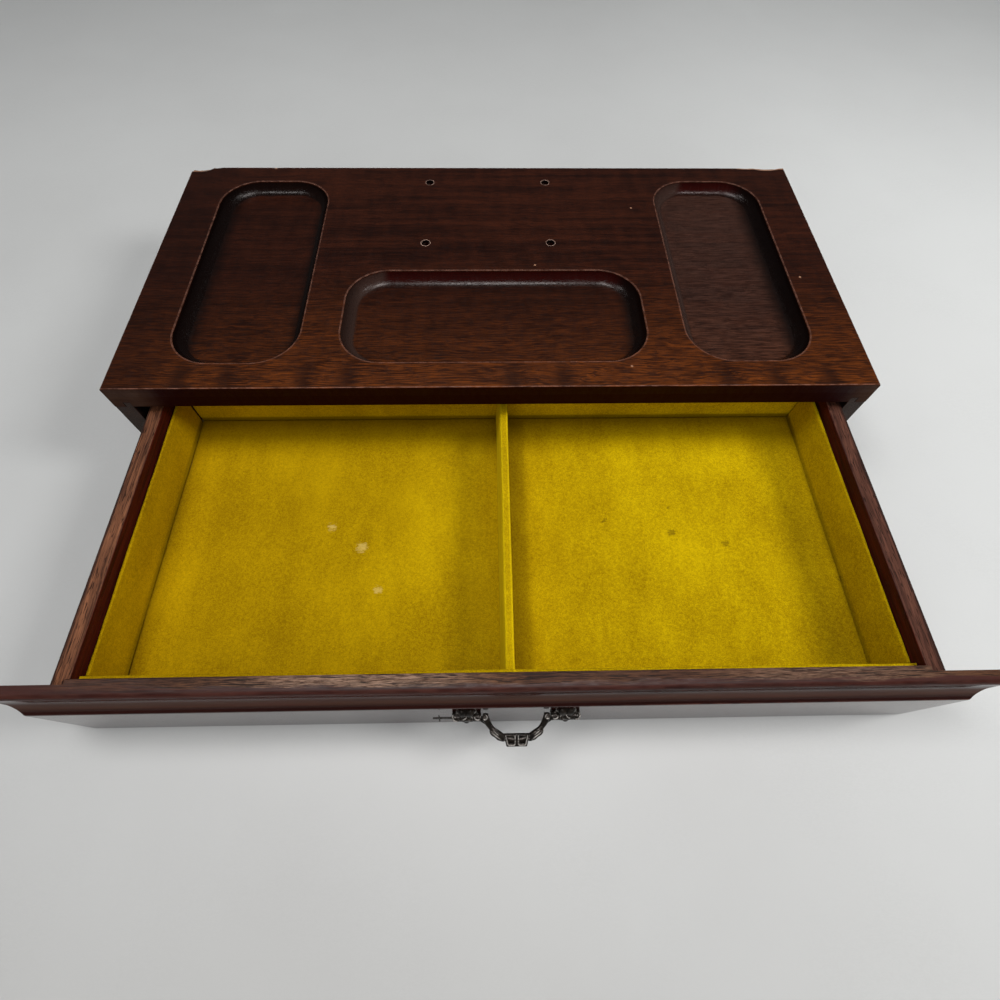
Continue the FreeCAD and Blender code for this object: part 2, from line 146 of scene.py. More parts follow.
class Graph:
    """A material under construction."""

    def __init__(self, name: str) -> None:
        """Start an empty material.

        Args:
            name: Name of the material.
        """
        self.material = bpy.data.materials.new(name)
        self.material.use_nodes = True
        self.tree = self.material.node_tree
        self.tree.nodes.clear()

    def node(self, kind: str, settings: dict[str, Any] | None = None, values: dict[Any, Any] | None = None,
             output: int | str = 0) -> Signal:
        """Add one node.

        Args:
            kind: Type of the node.
            settings: Attributes of the node. A ramp's are given as "stops".
            values: Numbers, colours or signals for its input sockets, by name or place.
            output: Which output to hand back.

        Returns:
            The output wanted.
        """
        made = self.tree.nodes.new(kind)
        for key, value in (settings or {}).items():
            if key == "stops":
                self._set_stops(made.color_ramp, value)
            else:
                setattr(made, key, value)
        for key, value in (values or {}).items():
            socket = made.inputs[key]
            if isinstance(value, Signal):
                self.tree.links.new(value.socket, socket)
            elif socket.type == "RGBA" and len(value) == 3:
                socket.default_value = (*value, 1)
            else:
                socket.default_value = value
        return Signal(self, made.outputs[output])

    @staticmethod
    def _set_stops(ramp: bpy.types.ColorRamp, stops: Sequence[tuple[float, Colour]]) -> None:
        """Give a ramp its stops.

        Args:
            ramp: The ramp.
            stops: Place and colour of each stop, in order.
        """
        while len(ramp.elements) > 1:
            ramp.elements.remove(ramp.elements[-1])
        ramp.elements[0].position = stops[0][0]
        for place, _ in stops[1:]:
            ramp.elements.new(place)
        for element, (_, colour) in zip(ramp.elements, stops):
            element.color = (*colour, 1)

    def math(self, operation: str, first: Signal | float, second: Signal | float = 0.0) -> Signal:
        """Add a Math node and hand back its result."""
        return self.node("ShaderNodeMath", {"operation": operation}, {0: first, 1: second})

    def vector(self, operation: str, first: Signal | Point, second: Signal | Point = (0, 0, 0),
               output: int | str = 0) -> Signal:
        """Add a Vector Math node and hand back one of its results."""
        return self.node("ShaderNodeVectorMath", {"operation": operation}, {0: first, 1: second}, output)

    def place(self) -> Signal:
        """Place on the object in millimetres."""
        raw = self.node("ShaderNodeTexCoord", output="Object")
        return self.vector("MULTIPLY", raw, (1 / MM, 1 / MM, 1 / MM))

    def axes(self, vector: Signal) -> tuple[Signal, Signal, Signal]:
        """Split a vector into its three numbers.

        Args:
            vector: The vector.

        Returns:
            Its numbers along x, y and z.
        """
        first = self.node("ShaderNodeSeparateXYZ", values={0: vector})
        outputs = first.socket.node.outputs
        return first, Signal(self, outputs[1]), Signal(self, outputs[2])

    def facing(self) -> tuple[Signal, Signal, Signal]:
        """The three numbers of the surface's direction."""
        return self.axes(self.node("ShaderNodeNewGeometry", output="Normal"))

    def noise(self, place: Signal, size: Point | float, detail: float = 2.0, roughness: float = 0.5,
              shift: float = 0.0, twist: float = 0.0) -> Signal:
        """Cloudy noise.

        Args:
            place: Place in millimetres.
            size: Size of its features in millimetres, one for all axes or one for each.
            detail: How many finer layers it has.
            roughness: How strong those are.
            shift: Moves the pattern, so that boards differ.
            twist: How much it swirls.

        Returns:
            Noise from 0 to 1 around a half.
        """
        sizes = (size, size, size) if isinstance(size, (int, float)) else size
        scaled = self.vector("MULTIPLY", place, tuple(1 / one for one in sizes))
        moved = self.vector("ADD", scaled, (shift, shift * 0.7, -shift))
        values = {"Vector": moved, "Scale": 1.0, "Detail": detail, "Roughness": roughness,
                  "Distortion": twist}
        return self.node("ShaderNodeTexNoise", values=values)

    def blend(self, share: Signal | float, first: Signal | Colour, second: Signal | Colour) -> Signal:
        """Mix two colours.

        Args:
            share: Share of the second colour.
            first: First colour.
            second: Second colour.

        Returns:
            The mixed colour.
        """
        return self.node("ShaderNodeMix", {"data_type": "RGBA"}, {0: share, 6: first, 7: second}, 2)

    def ramp(self, value: Signal, stops: Sequence[tuple[float, Colour]]) -> Signal:
        """Colours along a value."""
        return self.node("ShaderNodeValToRGB", {"stops": stops}, {0: value})

    def spot(self, place: Signal, centre: Point, radius: float, soft: float) -> Signal:
        """Round mask, 1 near a point."""
        return self.vector("DISTANCE", place, centre, "Value").below(radius, soft)

    def bump(self, height: Signal, depth_mm: float, strength: float = 1.0) -> Signal:
        """Surface direction after raising the surface by a height.

        Args:
            height: Height from 0 to 1.
            depth_mm: Height that 1 stands for, in millimetres.
            strength: Share of the effect.

        Returns:
            The direction.
        """
        values = {"Height": height, "Distance": depth_mm * MM, "Strength": strength}
        return self.node("ShaderNodeBump", values=values)

    def surface(self, **values: Any) -> bpy.types.Material:
        """Close the material with a Principled surface.

        Args:
            **values: Its sockets by name, with spaces written as underscores.

        Returns:
            The finished material.
        """
        named = {key.replace("_", " "): value for key, value in values.items()}
        shader = self.node("ShaderNodeBsdfPrincipled", values=named)
        output = self.tree.nodes.new("ShaderNodeOutputMaterial")
        self.tree.links.new(shader.socket, output.inputs["Surface"])
        return self.material


# ---- modelling ----


class Bench:
    """The moves that shape pieces, each made with Blender's own operators."""

    @staticmethod
    def only(piece: Piece) -> None:
        """Select one piece and nothing else.

        Args:
            piece: The piece.
        """
        bpy.ops.object.select_all(action="DESELECT")
        piece.select_set(True)
        bpy.context.view_layer.objects.active = piece

    @staticmethod
    @contextmanager
    def editing(piece: Piece) -> Iterator[None]:
        """Hold a piece in edit mode.

        Args:
            piece: The piece.

        Yields:
            Nothing.
        """
        Bench.only(piece)
        bpy.ops.object.mode_set(mode="EDIT")
        bpy.ops.mesh.select_all(action="SELECT")
        yield
        bpy.ops.object.mode_set(mode="OBJECT")

    @staticmethod
    def pick(kind: Pick, test: Callable[[Any], bool]) -> int:
        """Select what passes a test on the piece in edit mode.

        Args:
            kind: Points, edges or faces.
            test: The test.

        Returns:
            How many passed.
        """
        bpy.ops.mesh.select_mode(type=kind.value)
        bpy.ops.mesh.select_all(action="DESELECT")
        mesh = bmesh.from_edit_mesh(bpy.context.edit_object.data)
        mesh.normal_update()
        items = {Pick.POINTS: mesh.verts, Pick.EDGES: mesh.edges, Pick.FACES: mesh.faces}[kind]
        chosen = [item for item in items if test(item)]
        for item in chosen:
            item.select_set(True)
        mesh.select_flush_mode()
        bmesh.update_edit_mesh(bpy.context.edit_object.data)
        return len(chosen)

    @staticmethod
    def named(name: str) -> Piece:
        """Name the new active piece, and put its place into its mesh.

        Args:
            name: Its name.

        Returns:
            The piece.
        """
        piece = bpy.context.active_object
        piece.name = piece.data.name = name
        bpy.ops.object.transform_apply(location=True, rotation=True, scale=True)
        return piece

    @staticmethod
    def block(name: str, low: Point, high: Point) -> Piece:
        """Add a box between two corners, in millimetres.

        Args:
            name: Name of the piece.
            low: Lowest corner.
            high: Highest corner.

        Returns:
            The piece.
        """
        bpy.ops.object.select_all(action="DESELECT")
        centre = [(a + b) / 2 * MM for a, b in zip(low, high)]
        bpy.ops.mesh.primitive_cube_add(size=1.0, location=centre)
        bpy.context.active_object.scale = [(b - a) * MM for a, b in zip(low, high)]
        return Bench.named(name)

    @staticmethod
    def rod(name: str, start: Point, end: Point, radius: float, sides: int = 32,
            end_radius: float | None = None) -> Piece:
        """Add a round bar between two points, in millimetres.

        Args:
            name: Name of the piece.
            start: Middle of its first end.
            end: Middle of its other end.
            radius: Radius at the start.
            sides: How many flats make it round.
            end_radius: Radius at the end, if it tapers.

        Returns:
            The piece.
        """
        bpy.ops.object.select_all(action="DESELECT")
        a, b = Vector(start) * MM, Vector(end) * MM
        bpy.ops.mesh.primitive_cone_add(vertices=sides, radius1=radius * MM,
                                        radius2=(radius if end_radius is None else end_radius) * MM,
                                        depth=(b - a).length, location=(a + b) / 2,
                                        rotation=(b - a).to_track_quat("Z", "Y").to_euler())
        return Bench.named(name)

    @staticmethod
    def ball(name: str, centre: Point, radii: Point, turn: Point = (0, 0, 0), rings: int = 16) -> Piece:
        """Add an egg shape, in millimetres.

        Args:
            name: Name of the piece.
            centre: Its centre.
            radii: Its three half widths.
            turn: How it is turned, in degrees about each axis.
            rings: How finely it is divided.

        Returns:
            The piece.
        """
        bpy.ops.object.select_all(action="DESELECT")
        bpy.ops.mesh.primitive_uv_sphere_add(segments=2 * rings, ring_count=rings, radius=1.0,
                                             location=Vector(centre) * MM,
                                             rotation=[math.radians(one) for one in turn])
        bpy.context.active_object.scale = Vector(radii) * MM
        return Bench.named(name)

    @staticmethod
    def ring(name: str, centre: Point, radius: float, wire: float, turn: Point = (90, 0, 0)) -> Piece:
        """Add a ring of round wire, in millimetres.

        Args:
            name: Name of the piece.
            centre: Its centre.
            radius: Radius of its middle line.
            wire: Radius of the wire.
            turn: How it is turned, in degrees about each axis.

        Returns:
            The piece.
        """
        bpy.ops.object.select_all(action="DESELECT")
        bpy.ops.mesh.primitive_torus_add(major_segments=40, minor_segments=12, major_radius=radius * MM,
                                         minor_radius=wire * MM, location=Vector(centre) * MM,
                                         rotation=[math.radians(one) for one in turn])
        return Bench.named(name)

    @staticmethod
    def copy_of_solid(node: str, name: str) -> Piece:
        """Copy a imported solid's mesh into a new piece, with its triangles merged into flat faces.

        Args:
            node: Name of the solid.
            name: Name of the new piece.

        Returns:
            The piece.
        """
        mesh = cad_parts[node].data.copy()
        mesh.name = name
        mesh.materials.clear()
        piece = bpy.data.objects.new(name, mesh)
        bpy.context.scene.collection.objects.link(piece)
        with Bench.editing(piece):
            bpy.ops.mesh.customdata_custom_splitnormals_clear()
            bpy.ops.mesh.remove_doubles(threshold=0.002 * MM)
            bpy.ops.mesh.dissolve_limited(angle_limit=math.radians(0.5))
        return piece

    @staticmethod
    def apply(piece: Piece, kind: str, **settings: Any) -> None:
        """Add a modifier and apply it at once.

        Args:
            piece: The piece.
            kind: Type of the modifier.
            **settings: Its settings.
        """
        Bench.only(piece)
        modifier = piece.modifiers.new(kind.lower(), kind)
        for key, value in settings.items():
            setattr(modifier, key, value)
        bpy.ops.object.modifier_apply(modifier=modifier.name)

    @staticmethod
    def carve(piece: Piece, cutters: Sequence[Piece]) -> None:
        """Cut other pieces out of one, and use them up.

        Args:
            piece: The piece that is cut.
            cutters: The shapes taken out of it.
        """
        for cutter in cutters:
            Bench.apply(piece, "BOOLEAN", object=cutter, operation="DIFFERENCE", solver="EXACT")
            bpy.data.objects.remove(cutter, do_unlink=True)
        with Bench.editing(piece):
            bpy.ops.mesh.remove_doubles(threshold=0.002 * MM)

    @staticmethod
    def joined(name: str, pieces: Sequence[Piece]) -> Piece:
        """Join several pieces into one mesh.

        Args:
            name: Name of the whole.
            pieces: Its parts, which are used up.

        Returns:
            The whole.
        """
        bpy.ops.object.select_all(action="DESELECT")
        for one in pieces:
            one.select_set(True)
        bpy.context.view_layer.objects.active = pieces[0]
        bpy.ops.object.join()
        return Bench.named(name)

    @staticmethod
    def twin(piece: Piece, name: str, change: Matrix) -> Piece:
        """Copy a piece with its own mesh, moved, turned or mirrored.

        Args:
            piece: The piece.
            name: Name of the copy.
            change: What is done to its points.

        Returns:
            The copy.
        """
        Bench.only(piece)
        bpy.ops.object.duplicate(linked=False)
        copy = bpy.context.active_object
        copy.matrix_world = change
        Bench.named(name)
        if change.determinant() < 0:
            with Bench.editing(copy):
                Bench.face_out()
        return copy

    @staticmethod
    def face_out() -> None:
        """Turn every face of the piece in edit mode outwards."""
        bpy.ops.mesh.select_all(action="SELECT")
        bpy.ops.mesh.normals_make_consistent(inside=False)

    @staticmethod
    def bevel(width: float, steps: int = 2) -> None:
        """Round the selected edges, width in millimetres."""
        bpy.ops.mesh.bevel(offset=width * MM, segments=steps, profile=0.5, affect="EDGES", clamp_overlap=True)

    @staticmethod
    def round_long_edges(piece: Piece, width: float, least: float = 3.0) -> None:
        """Soften the long sharp edges of a board.

        Args:
            piece: The board.
            width: Width of the rounding in millimetres.
            least: Length in millimetres under which an edge stays as it is.
        """
        with Bench.editing(piece):
            Bench.pick(Pick.EDGES, lambda edge: len(edge.link_faces) == 2 and edge.calc_length() > least * MM
                       and edge.calc_face_angle(0.0) > math.radians(40) and edge.is_convex)
            Bench.bevel(width)

    @staticmethod
    def shade(piece: Piece, angle: float = 35.0) -> None:
        """Shade a piece smooth up to an angle, with its flats kept flat.

        Args:
            piece: The piece.
            angle: Angle in degrees over which an edge stays sharp.
        """
        Bench.only(piece)
        bpy.ops.object.shade_smooth_by_angle(angle=math.radians(angle))
        Bench.apply(piece, "WEIGHTED_NORMAL", keep_sharp=True, weight=80)

    @staticmethod
    def swell(piece: Piece, feature: float, depth: float, middle: float = 0.5) -> None:
        """Make a surface softly uneven.

        Args:
            piece: The piece.
            feature: Size of the bumps in millimetres.
            depth: Their height in millimetres.
            middle: 0.5 moves the surface both ways, 1 only inwards.
        """
        clouds = bpy.data.textures.new("clouds", "CLOUDS")
        clouds.noise_scale = feature * MM
        Bench.apply(piece, "DISPLACE", texture=clouds, texture_coords="LOCAL", strength=depth * MM,
                    mid_level=middle)
        bpy.data.textures.remove(clouds)


def settle(piece: Piece, material: bpy.types.Material, body: str, slot: str, *nodes: str) -> Piece:
    """Dress a finished piece and fix it to the body it moves with.

    Args:
        piece: The piece.
        material: Its finish.
        body: Body that it rides on.
        slot: Material slot of the record; not used.
        *nodes: Solids that it stands for.

    Returns:
        The piece.
    """
    piece.data.materials.clear()
    piece.data.materials.append(material)
    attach(piece, body)
    if nodes:
        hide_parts(*nodes)
    log.info("%s rides on %s, %d faces", piece.name, body, len(piece.data.polygons))
    return piece


def plank(node: str, material: bpy.types.Material, body: str, slot: str, softness: float = 0.5,
          least: float = 3.0) -> None:
    """Copy a packed board with softened arrises, and dress it.

    Args:
        node: Name of the solid.
        material: Its finish.
        body: Body that it rides on.
        slot: Material slot of the record.
        softness: Width of the softened arrises in millimetres.
        least: Length in millimetres under which an edge stays sharp.
    """
    board = Bench.copy_of_solid(node, node + "_board")
    Bench.round_long_edges(board, softness, least)
    Bench.shade(board)
    settle(board, material, body, slot, node)


def dress(node: str, material: bpy.types.Material) -> None:
    """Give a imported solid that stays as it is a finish.

    Args:
        node: Name of the solid.
        material: Its finish.
    """
    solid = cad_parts[node]
    if solid.material_slots:
        for slot in solid.material_slots:
            slot.material = material
    else:
        solid.data.materials.append(material)
    log.info("%s keeps its solid", node)


# ---- finishes ----


@dataclass(frozen=True)
class Fibres:
    """The drawn grain of a board, sizes in millimetres."""

    grain: Grain
    fibre: tuple[float, float] = (0.7, 45.0)
    streak: tuple[float, float] = (7.0, 190.0)
    pore: tuple[float, float] = (0.34, 7.0)
    ripple: tuple[float, float] = (26.0, 3.2)
    waver: float = 3.0
    curl: float = 0.0
    shift: float = 0.0

    def _stretched(self, graph: Graph, place: Signal, size: tuple[float, float], shift: float,
                   detail: float = 2.0) -> Signal:
        """Noise drawn out along the grain.

        Args:
            graph: The material.
            place: Place in millimetres.
            size: Width and length of its features.
            shift: Moves the pattern.
            detail: How many finer layers it has.

        Returns:
            The noise.
        """
        sizes = tuple(size[1] if along else size[0] for along in self.grain.value)
        return graph.noise(place, sizes, detail, 0.6, shift + self.shift)

    def draw(self, graph: Graph, place: Signal) -> tuple[Signal, Signal, Signal, Signal]:
        """Draw the grain.

        Args:
            graph: The material.
            place: Place in millimetres.

        Returns:
            Fibres, broad streaks, open pores and cross ripples, each from 0 to 1.
        """
        slow = tuple(90.0 if along else 30.0 for along in self.grain.value)
        bend = (graph.noise(place, slow, 1.0, 0.5, self.shift + 3.1) - 0.5) * (2 * self.waver)
        if self.curl:
            fast = tuple(17.0 if along else 8.0 for along in self.grain.value)
            bend = bend + (graph.noise(place, fast, 1.0, 0.5, self.shift + 6.3) - 0.5) * (2 * self.curl)
        x, y, z = graph.axes(place)
        across = self.grain is Grain.ACROSS_THE_BOX
        parts = (x, y + bend, z + bend) if across else (x + bend, y, z + bend)
        bent = graph.node("ShaderNodeCombineXYZ", values=dict(enumerate(parts)))
        fibres = self._stretched(graph, bent, self.fibre, 1.7, 3.0)
        streaks = self._stretched(graph, bent, self.streak, 5.3, 2.0)
        pores = self._stretched(graph, bent, self.pore, 9.1, 1.0).above(0.62, 0.035)
        ripples = self._stretched(graph, bent, self.ripple, 12.4, 2.0)
        return fibres, streaks, pores, ripples


def contrast(value: Signal, gain: float) -> Signal:
    """Spread a noise around its middle, held to 0 and 1."""
    return value.above(0.5, 0.5 / gain)


@dataclass(frozen=True)
class CarvedTopFinish:
    """Dark mahogany stain on the top, rubbed along its arrises and paler by the front edge.

    Each tray is given by its middle and its half widths, across the box and to the back.
    """

    top: float
    tray_floor: float
    tray_corner: float
    trays: tuple[tuple[float, float, float, float], ...]
    holes: tuple[tuple[float, float], ...]
    deep: Colour = (0.0125, 0.0027, 0.0013)
    red: Colour = (0.050, 0.0115, 0.0045)
    amber: Colour = (0.190, 0.046, 0.0050)
    line: Colour = (0.0080, 0.0019, 0.0011)
    black: Colour = (0.0036, 0.0014, 0.0011)
    wine: Colour = (0.030, 0.0011, 0.0009)
    painted_reflection: Colour = (0.078, 0.038, 0.028)
    worn: Colour = (0.32, 0.150, 0.105)
    chalk: Colour = (0.50, 0.33, 0.26)
    dust_and_painted_light: Colour = (0.042, 0.023, 0.018)
    front_stain: Colour = (0.0135, 0.0001, 0.0004)
    ends: Colour = (0.075, 0.036, 0.020)
    raw: Colour = (0.36, 0.19, 0.115)
    smoke_places: tuple[float, ...] = (-174, -147, -105, -81, 11, 39, 132, 160, 191)
    smoke_half: float = 8.5
    scars: tuple[tuple[float, float], ...] = ((96.3, 55.5), (77.8, -88.4), (194.9, -14.9), (26.8, -3.1),
                                              (-156, 101.5))

    def material(self) -> bpy.types.Material:
        """Build the material.

        Returns:
            The material.
        """
        graph = Graph("carved_top_mahogany")
        place = graph.place()
        x, y, z = graph.axes(place)
        nx, ny, nz = graph.facing()
        wood = Fibres(Grain.ACROSS_THE_BOX, fibre=(0.62, 15.0), streak=(5.0, 120.0), pore=(0.3, 5.0),
                      ripple=(22.0, 9.0), curl=1.3)
        fibres, streaks, pores, ripples = wood.draw(graph, place)
        lines = contrast(fibres, 3.4)
        tone = contrast(streaks * 0.5 + ripples * 0.25 + fibres * 0.25, 3.0)
        colour = graph.blend(tone, self.deep, self.red)

        front = y.below(-60, 62) * (x.above(-175, 70) * 0.45 + 0.55)
        colour = graph.blend(front * (0.22 + lines * 0.34 + tone * 0.34), colour, self.amber)
        floor = z.below(self.tray_floor + 0.25, 0.15)
        right_tray = x.above(112, 12)
        colour = graph.blend(floor * 0.28, colour, self.deep)
        # painted reflection: the right tray's floor is tinted pink, standing in for a bright reflection in its
        # lacquer
        colour = graph.blend(floor * right_tray * (0.28 + lines * 0.30), colour, self.painted_reflection)
        figured = y.below(5, 95) * 0.5 + 0.24
        colour = graph.blend((1 - lines) * figured, colour, self.line)
        colour = graph.blend(self._smoke(graph, x, y, fibres), colour, self.line)
        colour = graph.blend(x.below(-188, 14) * 0.45, colour, self.deep)

        cove = z.below(self.top - 0.8, 0.5) * z.above(self.tray_floor + 0.25, 0.2)
        beyond_left_tray = x.above(-100, 10)
        # partly stain gathered in the coves and partly painted shade: every cove is darkened towards black, the
        # left tray's most
        colour = graph.blend(cove * (0.66 + x.below(-100, 10) * 0.24), colour, self.black)
        colour = graph.blend(cove * (0 - ny).above(0.5, 0.2) * beyond_left_tray * 0.6, colour, self.wine)
        # painted light: the cove walls that face right, towards the key lamp, are lightened to a grey-brown
        colour = graph.blend(cove * nx.above(0.12, 0.1) * beyond_left_tray * 0.8, colour, self.dust_and_painted_light)
        # partly stain and partly painted shadow: dark pools along some of the trays' side walls
        colour = graph.blend(self._pools(x, fibres) * z.below(self.top - 0.7, 0.3), colour, self.black)
        colour = graph.blend(pores * 0.5, colour, self.black)

        broken = contrast(graph.noise(place, 4.0, 3.0, 0.7, 2.0), 3.0)
        on_top = z.above(self.top - 0.32, 0.08)
        rim = graph.math("MAXIMUM", on_top * nz.below(0.985, 0.012) * 0.75,
                         self._tray_lines(graph, x, y) * on_top)
        colour = graph.blend(rim * (0.16 + broken * 0.62), colour, self.worn)
        front_face = (0 - ny).above(0.9, 0.05) * y.below(-102, 0.4)
        ends = abs(x - 7).above(199, 9)
        colour = graph.blend(front_face, colour, self.front_stain)
        colour = graph.blend(front_face * ends * (0.35 + tone * 0.5), colour, self.ends)
        colour = graph.blend(self._bare(graph, place, nz), colour, self.raw)
        colour = self._hole_rims(graph, place, z, colour)

        height = fibres * 0.5 - pores * 0.8 + graph.noise(place, 14.0, 1.0) * 3.0
        drips = contrast(graph.noise(place, (2.2, 9, 9), 2.0, 0.6, 4.0), 1.6)
        rough = 0.30 + drips * 0.10 + pores * 0.15 - cove * (0.14 - drips * 0.06) + front_face * 0.4
        return graph.surface(Base_Color=colour, Roughness=rough + rim * 0.1,
                             Normal=graph.bump(height, 0.035, 0.5), Specular_IOR_Level=0.12)

    def _tray_lines(self, graph: Graph, x: Signal, y: Signal) -> Signal:
        """Worn line just outside each tray.

        Args:
            graph: The material.
            x: Place across the box.
            y: Place to the back.

        Returns:
            Its mask.
        """
        lines = None
        for centre_x, centre_y, half_x, half_y in self.trays:
            beyond_x = graph.math("MAXIMUM", abs(x - centre_x) - (half_x - self.tray_corner), 0.0)
            beyond_y = graph.math("MAXIMUM", abs(y - centre_y) - (half_y - self.tray_corner), 0.0)
            outside = graph.math("SQRT", beyond_x * beyond_x + beyond_y * beyond_y) - self.tray_corner
            line = outside.between(0.15, 0.75, 0.12)
            lines = line if lines is None else lines + line
        return lines * 0.5

    @staticmethod
    def _pools(x: Signal, fibres: Signal) -> Signal:
        """Stain that has gathered along some of the trays' side walls, partly painted shadow that those walls
        cast.

        Args:
            x: Place across the box.
            fibres: The grain, which frays its edge.

        Returns:
            Its mask.
        """
        frayed = x + (fibres - 0.5) * 3.0
        left = frayed.below(-177, 5) * 0.8
        walls = abs(frayed + 114).below(6.5, 4.0) * 0.75 + abs(frayed - 91).below(10.5, 4.5) * 0.85
        return left + walls + frayed.above(176, 6) * 0.9 + abs(frayed + 91).below(5, 4) * 0.35

    def _smoke(self, graph: Graph, x: Signal, y: Signal, fibres: Signal) -> Signal:
        """Dark blotches that cross the front strip.

        Args:
            graph: The material.
            x: Place across the box.
            y: Place to the back.
            fibres: The grain, which frays them.

        Returns:
            Their mask.
        """
        width = 440.0
        stops = [(0.0, (0, 0, 0))]
        for middle in self.smoke_places:
            for step, grey in ((-self.smoke_half, 0), (0, 1), (self.smoke_half, 0)):
                stops.append(((middle + step) / width + 0.5, (grey, grey, grey)))
        across = graph.ramp((x + (fibres - 0.5) * 16) / width + 0.5, stops)
        reach = (y + (fibres - 0.5) * 30).below(-84, 11)
        return across * reach * (0.55 + contrast(fibres, 2.0) * 0.3)

    def _bare(self, graph: Graph, place: Signal, nz: Signal) -> Signal:
        """Bare wood in the broken back corners, and a few small scars.

        Args:
            graph: The material.
            place: Place in millimetres.
            nz: Upward part of the surface's direction.

        Returns:
            Their mask.
        """
        x, y, z = graph.axes(place)
        frayed = (graph.noise(place, 2.6, 3.0, 0.7, 7.7) - 0.5) * 3.0
        corner = (0 - x + frayed).above(196, 2) + (x + frayed).above(180, 2)
        sunk = (z + frayed * 0.06).below(self.top - 0.2, 0.08)
        bare = corner * y.above(94.0, 1.0) * sunk * nz.above(0.3, 0.1)
        split = (0 - x + frayed).above(204, 1.5) + (x + frayed).above(181, 1.5)
        bare = bare + split * (y + frayed * 0.6).above(101.0, 0.3) * nz.above(0.6, 0.1) * 0.85
        for scar in self.scars:
            bare = bare + graph.spot(place, (*scar, self.top), 0.7, 0.2)
        return graph.math("MINIMUM", bare, 1.0)

    def _hole_rims(self, graph: Graph, place: Signal, z: Signal, colour: Signal) -> Signal:
        """Darken the mouths of the screw holes, and chip the lacquer round them.

        Args:
            graph: The material.
            place: Place in millimetres.
            z: Its height.
            colour: Colour of the wood.

        Returns:
            The changed colour.
        """
        mouth, chip = 2.85, 3.22
        chipped = (graph.noise(place, 0.9, 2.0, 0.6, 3.3) - 0.5) * 0.5
        patchy = contrast(graph.noise(place, 3.0, 2.0, 0.6, 9.3), 3.0) * 0.7 + 0.3
        for hole in self.holes:
            away = graph.vector("DISTANCE", place, (*hole, self.top), "Value") + chipped
            colour = graph.blend(away.below(mouth, 0.1), colour, self.black)
            ring = away.between(mouth, chip, 0.1) * z.above(self.top - 0.7, 0.2)
            colour = graph.blend(ring * patchy, colour, self.chalk)
        return colour


@dataclass(frozen=True)
class StainedBoardFinish:
    """Stained board whose tone runs between two colours."""

    name: str
    grain: Grain
    dark: Colour
    light: Colour
    roughness: float = 0.35
    coat: float = 0.2
    shift: float = 0.0
    relief: float = 0.05
    gloss: float = 0.5
    end: Colour | None = None

    def material(self) -> bpy.types.Material:
        """Build the material.

        Returns:
            The material.
        """
        graph = Graph(self.name)
        place = graph.place()
        fibres, streaks, pores, ripples = Fibres(self.grain, shift=self.shift).draw(graph, place)
        tone = contrast(fibres * 0.5 + streaks * 0.35 + ripples * 0.15, 2.6)
        colour = graph.blend(tone, self.dark, self.light)
        if self.end:
            end = graph.blend(tone, tuple(part * 0.4 for part in self.end), self.end)
            colour = graph.blend(self._end_grain(graph), colour, end)
        colour = graph.blend(pores * 0.6, colour, tuple(part * 0.35 for part in self.dark))
        height = fibres * 0.6 - pores
        rough = self.roughness + (fibres - 0.5) * 0.2 + pores * 0.1
        return graph.surface(Base_Color=colour, Roughness=rough, Normal=graph.bump(height, self.relief, 0.6),
                             Coat_Weight=self.coat, Coat_Roughness=0.2, Specular_IOR_Level=self.gloss)

    def _end_grain(self, graph: Graph) -> Signal:
        """Mask of the faces that the fibres run into."""
        facing = [abs(part) for part, along in zip(graph.facing(), self.grain.value) if along]
        return facing[0].above(0.7, 0.1)


@dataclass(frozen=True)
class DrawerSideFinish:
    """Open-grained brown wood, stained wine red on the face inside the drawer."""

    side: Side
    inner_x: float
    outer_x: float
    top_z: float
    left_wood: tuple[Colour, Colour] = ((0.050, 0.0155, 0.0075), (0.31, 0.122, 0.057))
    right_wood: tuple[Colour, Colour] = ((0.048, 0.0165, 0.0110), (0.170, 0.067, 0.042))
    stain: tuple[Colour, Colour] = ((0.024, 0.0022, 0.0012), (0.080, 0.0090, 0.0040))
    grime: Colour = (0.050, 0.018, 0.011)
    pore: Colour = (0.012, 0.004, 0.003)
    outside: Colour = (0.022, 0.010, 0.008)

    def material(self) -> bpy.types.Material:
        """Build the material.

        Returns:
            The material.
        """
        graph = Graph("drawer_side_wood_" + self.side.word)
        place = graph.place()
        x, _, z = graph.axes(place)
        left = self.side is Side.LEFT
        wood = Fibres(Grain.FRONT_TO_BACK, fibre=(0.6, 26.0), pore=(0.5, 7.0), streak=(2.6, 80.0), curl=0.5,
                      shift=20.0 if left else 31.0)
        fibres, streaks, pores, _ = wood.draw(graph, place)
        worn = contrast(graph.noise(place, (3, 26, 3), 3.0, 0.65, 6.0), 2.4)
        tone = contrast(fibres * 0.45 + streaks * 0.55, 3.2)
        colour = graph.blend(tone, *(self.left_wood if left else self.right_wood))
        colour = graph.blend(worn * (0.55 if left else 0.3), colour, self.grime)
        colour = graph.blend(pores * 0.85, colour, self.pore)
        across = x * self.side.value
        outer = (across + (worn - 0.5) * 0.8).above(self.outer_x * self.side.value - 1.3, 0.3)
        colour = graph.blend(outer * 0.8, colour, self.outside)
        inner = across.below(self.inner_x * self.side.value + 0.35, 0.25)
        stained = graph.blend(tone, *self.stain)
        colour = graph.blend(inner * z.below(self.top_z + 0.1, 0.3), colour, stained)
        height = fibres - pores * 1.6
        rough = 0.62 + (fibres - 0.5) * 0.25
        return graph.surface(Base_Color=colour, Roughness=rough, Normal=graph.bump(height, 0.11, 0.8),
                             Specular_IOR_Level=0.12)


